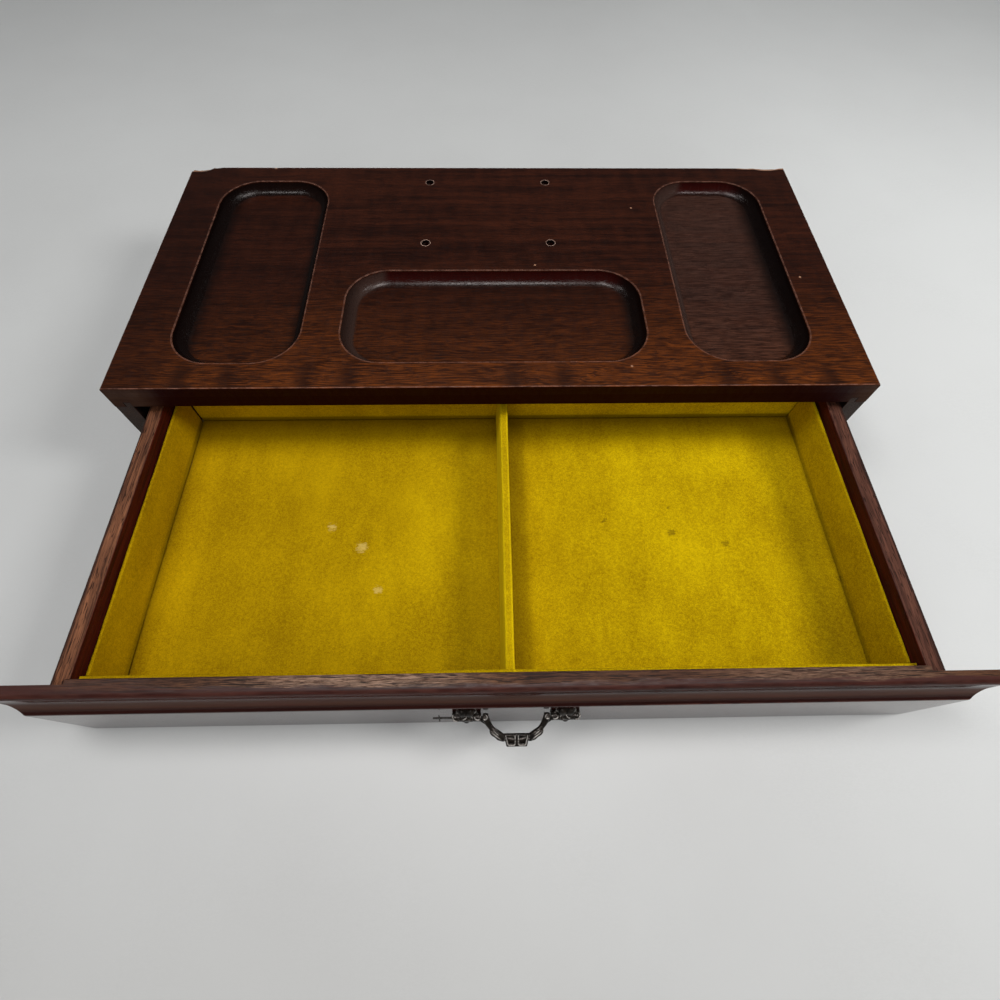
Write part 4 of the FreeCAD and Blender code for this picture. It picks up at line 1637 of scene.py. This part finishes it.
@dataclass
class Lining:
    """Velvet-covered cards of the two compartments, and the divider's folded cover."""

    left_x: float = -192.0
    right_x: float = 196.4
    card: float = 2.5
    fold: float = 2.9
    fold_z: float = 56.4
    front_y: float = -252.5
    back_y: float = -80.1
    foot_z: float = 23.0
    top_z: float = 52.7
    divider_x: float = 5.2
    divider_top: float = 54.0
    divider_foot_half: float = 3.8
    divider_top_half: float = 2.55
    divider_lean: float = 0.45
    divider_skirt: float = 0.9
    gap: float = 0.2
    corner_slot: float = 0.9
    back_start: float = 1.8
    under_cover: float = 0.9
    long_edge: float = 18.0
    cuts: int = 24
    body: str = "drawer"

    def build(self) -> None:
        """Build and dress every piece of the lining."""
        velvet = VelvetFinish().material()
        front, back = self.front_y + self.fold + self.gap / 2, self.back_y - self.card - self.gap
        left, right, foot, top, gap = self.left_x, self.right_x, self.foot_z, self.top_z, self.gap
        beside = self.divider_foot_half - self.under_cover
        cards = {
            "lining_front": ((left + gap, self.front_y, foot),
                             (right - gap, self.front_y + self.fold, self.fold_z)),
            "lining_back": ((left + self.back_start, self.back_y - self.card, foot),
                            (right - gap, self.back_y, top)),
            "lining_side_left": ((left, front, foot), (left + self.card, back - self.corner_slot, top)),
            "lining_side_right": ((right - self.card, front, foot), (right, back, top)),
            "lining_floor_left": ((left + self.card - gap, front, foot),
                                  (self.divider_x - beside, back, foot + self.card)),
            "lining_floor_right": ((self.divider_x + beside, front, foot),
                                   (right - self.card + gap, back, foot + self.card)),
        }
        for node, (low, high) in cards.items():
            piece = self._card(node + "_velvet", low, high)
            settle(piece, velvet, self.body, "velvet", node)
        settle(self._divider(front, back), velvet, self.body, "velvet", "divider_cover")

    def _card(self, name: str, low: Point, high: Point) -> Piece:
        """Cover one card: soft arrises and a slightly uneven face.

        Args:
            name: Name of the piece.
            low: Lowest corner.
            high: Highest corner.

        Returns:
            The piece.
        """
        card = Bench.block(name, low, high)
        with Bench.editing(card):
            Bench.pick(Pick.EDGES, lambda edge: all(v.co.z > (high[2] - 0.01) * MM for v in edge.verts))
            Bench.bevel(self.card * 0.46, 4)
            self._divide()
        Bench.swell(card, 26.0, 0.8, 1.0)
        Bench.shade(card, 60)
        return card

    def _divide(self) -> None:
        """Divide the long edges of the piece in edit mode, so that its faces can swell."""
        Bench.pick(Pick.EDGES, lambda edge: edge.calc_length() > self.long_edge * MM)
        bpy.ops.mesh.subdivide(number_cuts=self.cuts)

    def _divider(self, front: float, back: float) -> Piece:
        """Fold the velvet over the divider: wide at the foot, with a soft, uneven top.

        Args:
            front: Front end.
            back: Back end.

        Returns:
            The piece.
        """
        foot, top = self.divider_foot_half, self.divider_top_half
        cover = Bench.block("divider_velvet",
                            (self.divider_x - foot - self.divider_skirt, front - 0.8, self.foot_z),
                            (self.divider_x + foot, back, self.divider_top))
        with Bench.editing(cover):
            Bench.pick(Pick.FACES, lambda face: face.normal.z > 0.9)
            centre_x = self.divider_x + self.divider_lean
            bpy.ops.transform.resize(value=(2 * top / (2 * foot + self.divider_skirt), 1, 1),
                                     center_override=(centre_x * MM, 0, self.divider_top * MM))
            Bench.pick(Pick.EDGES, lambda edge: all(v.co.z > (self.divider_top - 0.01) * MM for v in edge.verts))
            Bench.bevel(1.5, 5)
            self._divide()
        Bench.swell(cover, 18.0, 0.5, 1.0)
        Bench.shade(cover, 60)
        return cover


@dataclass
class Pull:
    """Cast bail pull: two posts, two pins and the bail. Its shapes are drawn with the pivot at zero."""

    x: float = 7.8
    pivot: tuple[float, float] = (-268.7, 40.0)
    spacing: float = 23.5
    post_half: float = 7.2
    rise: float = 2.6
    centre_z: float = -3.5
    arm: float = 14.5
    reach: float = 10.3
    lean: float = 70.0
    wire: float = 1.5
    grip_height: float = 5.4
    grip_width: tuple[float, float] = (12.2, 9.6)
    grip_thick: float = 3.2
    leaf_angle: float = 34.5
    toe: tuple[float, float] = (-4.6, -3.0)
    petals: int = 8
    pin_out: float = 8.6
    grain: float = 0.14

    @property
    def bend(self) -> float:
        """Radius of the bail's middle line."""
        return (self.arm ** 2 + self.reach ** 2) / (2 * self.reach)

    @property
    def bend_z(self) -> float:
        """Height of that arc's centre over the pivot."""
        return self.bend - self.reach

    def _on_bend(self, degrees: float, out: float = 0.0) -> tuple[float, float]:
        """Place on the bail's arc.

        Args:
            degrees: Angle from the middle of the grip, positive to the right.
            out: Distance outside the middle line.

        Returns:
            Place across and up.
        """
        turn = math.radians(degrees)
        radius = self.bend + out
        return radius * math.sin(turn), self.bend_z - radius * math.cos(turn)

    def build(self) -> None:
        """Build and dress every piece of the pull."""
        lean = math.radians(self.lean)
        out = (0.0, -math.cos(lean), math.sin(lean))
        level = self.pivot[0] * out[1] + self.pivot[1] * out[2]
        bronze = CastBronzeFinish(top=self.pivot[1] + 2.75,
                                  face=((0.0, 0.0, 1.0), self.pivot[1] + 1.95)).material()
        bail_bronze = CastBronzeFinish("antique_bronze_bail", face=(out, level + 1.9)).material()
        right = self._post()
        left = Bench.twin(right, "cast_post_left", self._mirror())
        for side, piece in ((Side.RIGHT, right), (Side.LEFT, left)):
            shift = Matrix.Translation(Vector((self.x + side.value * self.spacing, *self.pivot)) * MM)
            self._move(piece, shift)
            settle(piece, bronze, "drawer", "antique_bronze", "handle_post_" + side.word)
        bail = self._bail()
        turn = Matrix.Rotation(math.radians(-self.lean), 4, "X")
        self._move(bail, Matrix.Translation(Vector((self.x, *self.pivot)) * MM) @ turn)
        settle(bail, bail_bronze, "bail", "antique_bronze", "bail")
        dull = CastBronzeFinish("pin_bronze", (0.004, 0.0035, 0.003), (0.010, 0.007, 0.006), rubbing=0.1,
                                metallic=0.0, gloss=0.15).material()
        for side in Side:
            pin = self._pin(side)
            self._move(pin, Matrix.Translation(Vector((self.x, *self.pivot)) * MM))
            settle(pin, dull, "drawer", "antique_bronze", "pivot_pin_" + side.word)

    @staticmethod
    def _mirror() -> Matrix:
        """Mirror left and right."""
        return Matrix.Diagonal((-1, 1, 1, 1))

    @staticmethod
    def _move(piece: Piece, change: Matrix) -> None:
        """Set a piece in place, with the place in its mesh.

        Args:
            piece: The piece.
            change: Where it goes.
        """
        Bench.only(piece)
        piece.matrix_world = change
        bpy.ops.object.transform_apply(location=True, rotation=True, scale=True)

    def _cast(self, piece: Piece) -> None:
        """Melt the joined shapes into one casting with soft inner corners."""
        with Bench.editing(piece):
            Bench.face_out()
        Bench.apply(piece, "REMESH", mode="VOXEL", voxel_size=self.grain * MM, use_smooth_shade=True)
        Bench.apply(piece, "SMOOTH", factor=0.5, iterations=2)

    def _post(self) -> Piece:
        """Model the right post: a leafy shell under a scrolled barrel that holds the pin, with the bail's toe.

        Returns:
            The piece.
        """
        parts = []
        face = self.rise
        parts.append(Bench.ball("plate", (0, face - 0.2, self.centre_z), (6.2, 2.0, 8.8), rings=24))
        for index in range(self.petals):
            angle = 2 * math.pi * (index + 0.5) / self.petals
            bead_x, bead_z = 4.4 * math.cos(angle), self.centre_z + 7.2 * math.sin(angle)
            tilt = math.degrees(math.atan2(bead_x, bead_z - self.centre_z))
            parts.append(Bench.ball("petal", (bead_x, face - 0.6, bead_z), (2.1, 2.3, 2.9), (0, tilt, 0)))
            parts.append(Bench.ring("petal_rim", (bead_x, face - 2.1, bead_z), 1.35, 0.32))
            parts.append(Bench.ball("petal_bead", (bead_x, face - 2.6, bead_z), (0.6, 0.55, 0.6), rings=8))
        parts.append(Bench.ball("dome", (0, face - 0.9, self.centre_z), (4.6, 3.5, 5.2), rings=24))
        parts.append(Bench.ring("dome_rim", (0, face - 3.4, self.centre_z), 2.5, 0.45))
        parts.append(Bench.ball("button", (0, face - 4.0, self.centre_z), (1.3, 0.8, 1.3)))
        parts += self._barrel()
        low, high = self.toe
        toe_z, thick = (low + high) / 2, (high - low) / 2
        tip = (-9.4, face - 4.8, toe_z)
        parts.append(Bench.rod("toe", (-3.5, face - 1.0, toe_z), tip, thick * 1.3, 16, thick))
        parts.append(Bench.ball("toe_end", tip, (thick, thick, thick), rings=10))
        post = Bench.joined("cast_post_right", parts)
        self._cast(post)
        with Bench.editing(post):
            bpy.ops.mesh.bisect(plane_co=(0, face * MM, 0), plane_no=(0, 1, 0), use_fill=True,
                                clear_outer=True)
        return post

    def _barrel(self) -> list[Piece]:
        """Model the barrel of the right post: leaf scrolls, with a round eye at its inner end.

        Returns:
            Its parts.
        """
        parts = [Bench.rod("barrel", (-self.post_half + 0.8, 0, 0), (self.post_half - 1.8, 0, 0), 1.7)]
        scrolls = ((-5.2, 0.1, 1.9, 1.7), (-2.3, -0.1, 2.2, 1.85), (1.0, 0.0, 2.0, 1.95), (4.6, 0.0, 2.4, 1.85))
        for x, y, half, radius in scrolls:
            parts.append(Bench.ball("scroll", (x, y, -0.1), (half, radius, radius)))
            parts.append(Bench.ball("root", (x, 1.5, 0.4), (half * 0.9, 1.5, 1.5), rings=12))
        curls = ((-5.2, -0.3, 1.25, 0.34, (-24, -14, 0)), (-1.9, -0.7, 1.0, 0.28, (20, 10, 0)),
                 (1.2, 0.1, 1.35, 0.30, (-14, 26, 0)), (4.8, -0.2, 1.7, 0.36, (-16, -24, 0)))
        for x, y, radius, wire, turn in curls:
            parts.append(Bench.ring("curl", (x, y, 1.5), radius, wire, turn))
            parts.append(Bench.ball("eye", (x, y, 1.45), (0.5, 0.5, 0.4), rings=8))
        parts.append(Bench.ring("end_curl", (self.post_half - 1.7, 0, 0.1), 1.5, 0.42, (0, 78, 0)))
        parts.append(Bench.ring("collar", (-self.post_half + 0.6, 0, 0), 1.5, 0.45, (0, 90, 0)))
        return parts

    def _bail(self) -> Piece:
        """Model the bail hanging straight down: eyes, curved arms with leaves, and the ribbed grip.

        Returns:
            The piece.
        """
        parts = [self._arms(), *self._grip()]
        for side in Side:
            x = side.value * self.arm
            parts.append(Bench.rod("eye", (x - 1.35, 0, 0), (x + 1.35, 0, 0), 1.75))
            parts.append(Bench.ball("eye_bulge", (x, 0, 0), (1.5, 1.9, 1.9)))
            parts.append(Bench.ring("eye_curl", (x + 0.25 * side.value, -1.62, 0.3), 1.05, 0.3,
                                    (84, 0, side.value * 9)))
            parts += self._leaf(side)
        bail = Bench.joined("cast_bail", parts)
        self._cast(bail)
        return bail

    def _arms(self) -> Piece:
        """Spin a round section into both arms of the bail, thinner between the eyes and the leaves.

        Returns:
            The piece.
        """
        bpy.ops.object.select_all(action="DESELECT")
        steps, half_turn = 40, math.degrees(math.atan2(self.arm, self.bend_z))
        x, z = self._on_bend(half_turn)
        bpy.ops.mesh.primitive_circle_add(vertices=20, radius=self.wire * MM, fill_type="NGON",
                                          location=(x * MM, 0, z * MM),
                                          rotation=(0, math.radians(90 - half_turn), 0))
        arms = Bench.named("arms")
        with Bench.editing(arms):
            bpy.ops.mesh.spin(steps=steps, angle=-2 * math.radians(half_turn), center=(0, 0, self.bend_z * MM),
                              axis=(0, 1, 0))
            Bench.face_out()
            for step in range(steps + 1):
                self._size_ring(half_turn * (1 - 2 * step / steps))
        return arms

    def _size_ring(self, degrees: float) -> None:
        """Swell or thin one ring of the arms: stout by the eye, thin at the waist, stout again at the leaf.

        Args:
            degrees: Where the ring stands on the arc, from the middle of the grip.
        """
        x, z = self._on_bend(degrees)
        centre = Vector((x, 0, z)) * MM
        turn = math.radians(degrees)
        along = Vector((math.cos(turn), 0, math.sin(turn)))
        root = math.exp(-((abs(degrees) - 70) / 9) ** 2)
        waist = math.exp(-((abs(degrees) - 50) / 7) ** 2)
        leaf = math.exp(-((abs(degrees) - self.leaf_angle) / 8) ** 2)
        size = 0.96 + 0.16 * root - 0.12 * waist + 0.22 * leaf
        Bench.pick(Pick.POINTS, lambda v: (v.co - centre).length < (self.wire + 0.05) * MM
                   and abs((v.co - centre).dot(along)) < 0.05 * MM)
        bpy.ops.transform.resize(value=(size, size, size), center_override=centre)

    def _leaf(self, side: Side) -> list[Piece]:
        """Model the leaf that wraps one arm: long lobes, fuller on the outer side, with two veins.

        Args:
            side: Which arm.

        Returns:
            Its parts.
        """
        parts = []
        for offset, out, radii in ((0.0, 0.75, (4.3, 1.3, 1.35)), (-1.0, -0.45, (3.6, 1.2, 1.05)),
                                   (7.0, 1.25, (2.0, 1.1, 1.0)), (-4.0, 1.3, (1.9, 1.1, 0.95))):
            degrees = side.value * (self.leaf_angle + offset)
            x, z = self._on_bend(degrees, out)
            parts.append(Bench.ball("lobe", (x, -0.5, z), radii, (0, -degrees, 0), 14))
        for offset, out, half in ((1.0, 0.9, 3.2), (4.0, -0.1, 2.0)):
            degrees = side.value * (self.leaf_angle + offset)
            x, z = self._on_bend(degrees, out)
            parts.append(Bench.ball("vein", (x, -1.62, z), (half, 0.46, 0.34), (0, -degrees, 0), 10))
        x, z = self._on_bend(side.value * (self.leaf_angle - 14), 0.2)
        parts.append(Bench.ball("leaf_tip", (x, -1.1, z), (0.9, 0.8, 0.9), rings=8))
        return parts

    def _grip(self) -> list[Piece]:
        """Model the tapered grip: two sunk panels, each framed by a raised loop that is open to the inside.

        Returns:
            Its parts.
        """
        high, low = -self.reach + self.grip_height / 2, -self.reach - self.grip_height / 2
        inner, outer = self.grip_width
        thick = self.grip_thick
        grip = Bench.block("grip", (-inner / 2, -thick / 2, low), (inner / 2, thick / 2, high))
        with Bench.editing(grip):
            Bench.pick(Pick.FACES, lambda face: face.normal.z < -0.9)
            bpy.ops.transform.resize(value=(outer / inner, 1, 1), center_override=(0, 0, low * MM))
            Bench.pick(Pick.FACES, lambda face: face.normal.y < -0.9)
            bpy.ops.mesh.bisect(plane_co=(0, 0, 0), plane_no=(1, 0, 0))
            Bench.pick(Pick.FACES, lambda face: face.normal.y < -0.9)
            bpy.ops.mesh.inset(thickness=0.85 * MM, depth=0, use_individual=True)
            bpy.ops.mesh.extrude_region_move(TRANSFORM_OT_translate={"value": (0, 1.1 * MM, 0)})
            Bench.pick(Pick.EDGES, lambda edge: edge.is_convex and edge.calc_face_angle(0.0) > math.radians(50))
            Bench.bevel(0.35, 2)
        parts = [grip]
        front = -thick / 2 - 0.05
        near, far_low, far_high = 0.78, outer / 2 - 0.6, inner / 2 - 1.0
        corners = [(near, high - 0.4), (near, low + 1.2), (near + 0.5, low + 0.75), (far_low - 0.5, low + 0.75),
                   (far_low, low + 1.2), (far_high, high - 0.4)]
        for side in Side:
            for (x0, z0), (x1, z1) in zip(corners, corners[1:]):
                start, end = (side.value * x0, front, z0), (side.value * x1, front, z1)
                parts.append(Bench.rod("rib", start, end, 0.38, 12))
            for x, z in corners:
                parts.append(Bench.ball("rib_joint", (side.value * x, front, z), (0.39, 0.39, 0.39), rings=8))
        return parts

    def _pin(self, side: Side) -> Piece:
        """Model one pivot pin. The left one stands out of its post and ends in a small cross.

        Args:
            side: Which pin.

        Returns:
            The piece.
        """
        start = side.value * (self.arm - self.wire)
        end = side.value * (self.spacing + self.post_half - 0.2)
        name = "pivot_pin_bar_" + side.word
        if side is Side.RIGHT:
            pin = Bench.rod(name, (start, 0, 0), (end, 0, 0), 0.6, 20)
        else:
            end -= self.pin_out + 0.1
            pin = Bench.rod(name, (start, 0, 0), (end, 0, 0), 0.58, 20, 0.46)
            cross = end + 3.0
            bars = [Bench.rod("bar", (cross - 0.25, 0, -1.5), (cross + 0.2, 0.1, 1.5), 0.38, 10, 0.26),
                    Bench.rod("bar", (cross + 0.3, -1.5, 0.1), (cross - 0.25, 1.45, 0), 0.38, 10, 0.24),
                    Bench.rod("barb", (cross + 1.3, 0.5, -0.7), (cross + 0.8, -0.6, 0.6), 0.28, 8, 0.16),
                    Bench.rod("barb", (cross - 1.5, -0.5, 0.3), (cross - 1.2, 0.5, 0), 0.26, 8, 0.16)]
            pin = Bench.joined(name, [pin, *bars])
        with Bench.editing(pin):
            Bench.pick(Pick.EDGES, lambda edge: edge.calc_face_angle(0.0) > math.radians(60))
            Bench.bevel(0.1, 2)
        Bench.shade(pin, 50)
        return pin


@dataclass(frozen=True)
class Lamp:
    """Square soft light, in metres and watts. A glint only mirrors in gloss, and the others never do."""

    name: str
    place: Point
    size: float
    power: float
    colour: Colour
    glint: bool = False

    def hang(self, target: Point) -> None:
        """Hang the light so that it faces a point.

        Args:
            target: The point, in metres.
        """
        data = bpy.data.lights.new(self.name, "AREA")
        data.size, data.energy, data.color = self.size, self.power, self.colour
        light = bpy.data.objects.new(self.name, data)
        light.location = self.place
        light.visible_glossy, light.visible_diffuse = self.glint, not self.glint
        aim = Vector(target) - Vector(self.place)
        light.rotation_euler = aim.to_track_quat("-Z", "Y").to_euler()
        bpy.context.scene.collection.objects.link(light)


@dataclass(frozen=True)
class Studio:
    """Pale floor, soft lights and a camera that looks as the photograph does."""

    eye: Point = (-3.67, -301.82, 315.07)
    pitch: float = 61.4512
    yaw: float = 2.2583
    roll: float = 1.4138
    lens: float = 19.6696
    floor_size: float = 9.0
    target: Point = (0, -0.08, 0.03)
    lamps: tuple[Lamp, ...] = (
        Lamp("key", (0.88, -0.24, 0.86), 0.32, 7.0, (1.0, 1.0, 0.985)),
        Lamp("overhead", (-0.44, -0.06, 1.30), 0.50, 6.5, (1.0, 1.0, 0.99)),
        Lamp("fill", (-0.05, -1.15, 1.05), 1.4, 8.5, (0.985, 0.99, 1.0)),
        Lamp("glint", (0.02, -0.02, 1.10), 0.32, 7.5, (1.0, 0.95, 0.93), True),
        Lamp("glint_left", (-0.50, -0.02, 1.05), 0.17, 2.2, (1.0, 0.95, 0.93), True),
        Lamp("glint_right", (0.46, -0.02, 1.05), 0.17, 2.4, (1.0, 0.93, 0.91), True))

    def build(self) -> None:
        """Set up the floor, the lights, the world and the camera."""
        bpy.ops.object.select_all(action="DESELECT")
        bpy.ops.mesh.primitive_plane_add(size=self.floor_size, location=(0, 0, 0))
        floor = bpy.context.active_object
        floor.name = "pale_floor"
        floor.data.materials.append(TableFinish().material())
        for lamp in self.lamps:
            lamp.hang(self.target)
        self._world()
        self._camera()
        bpy.context.scene.view_settings.view_transform = "Standard"

    @staticmethod
    def _world() -> None:
        """Fill the surroundings with an even, neutral light."""
        world = bpy.data.worlds.new("studio")
        world.use_nodes = True
        background = world.node_tree.nodes["Background"]
        background.inputs["Color"].default_value = (0.97, 0.99, 1.0, 1)
        background.inputs["Strength"].default_value = 0.10
        bpy.context.scene.world = world

    def _camera(self) -> None:
        """Place the camera."""
        pitch, yaw, roll = (math.radians(one) for one in (self.pitch, self.yaw, self.roll))
        ahead = Vector((math.sin(yaw) * math.cos(pitch), math.cos(yaw) * math.cos(pitch), -math.sin(pitch)))
        level = Vector((math.cos(yaw), -math.sin(yaw), 0))
        above = level.cross(ahead)
        right = level * math.cos(roll) + above * math.sin(roll)
        up = above * math.cos(roll) - level * math.sin(roll)
        data = bpy.data.cameras.new("camera")
        data.sensor_fit, data.sensor_width, data.lens = "HORIZONTAL", 36.0, self.lens
        data.clip_start = 0.01
        camera = bpy.data.objects.new("camera", data)
        turn = Matrix((right, up, -ahead)).transposed().to_4x4()
        camera.matrix_world = Matrix.Translation(Vector(self.eye) * MM) @ turn
        bpy.context.scene.collection.objects.link(camera)
        bpy.context.scene.camera = camera


def main() -> None:
    """Build the studio and every sub-assembly."""
    logging.basicConfig(level=logging.INFO, format="%(name)s: %(message)s")
    for assembly in (Studio(), Case(), Drawer(), Lining(), Pull()):
        log.info("building %s", type(assembly).__name__)
        assembly.build()


if __name__ == "__main__":
    main()
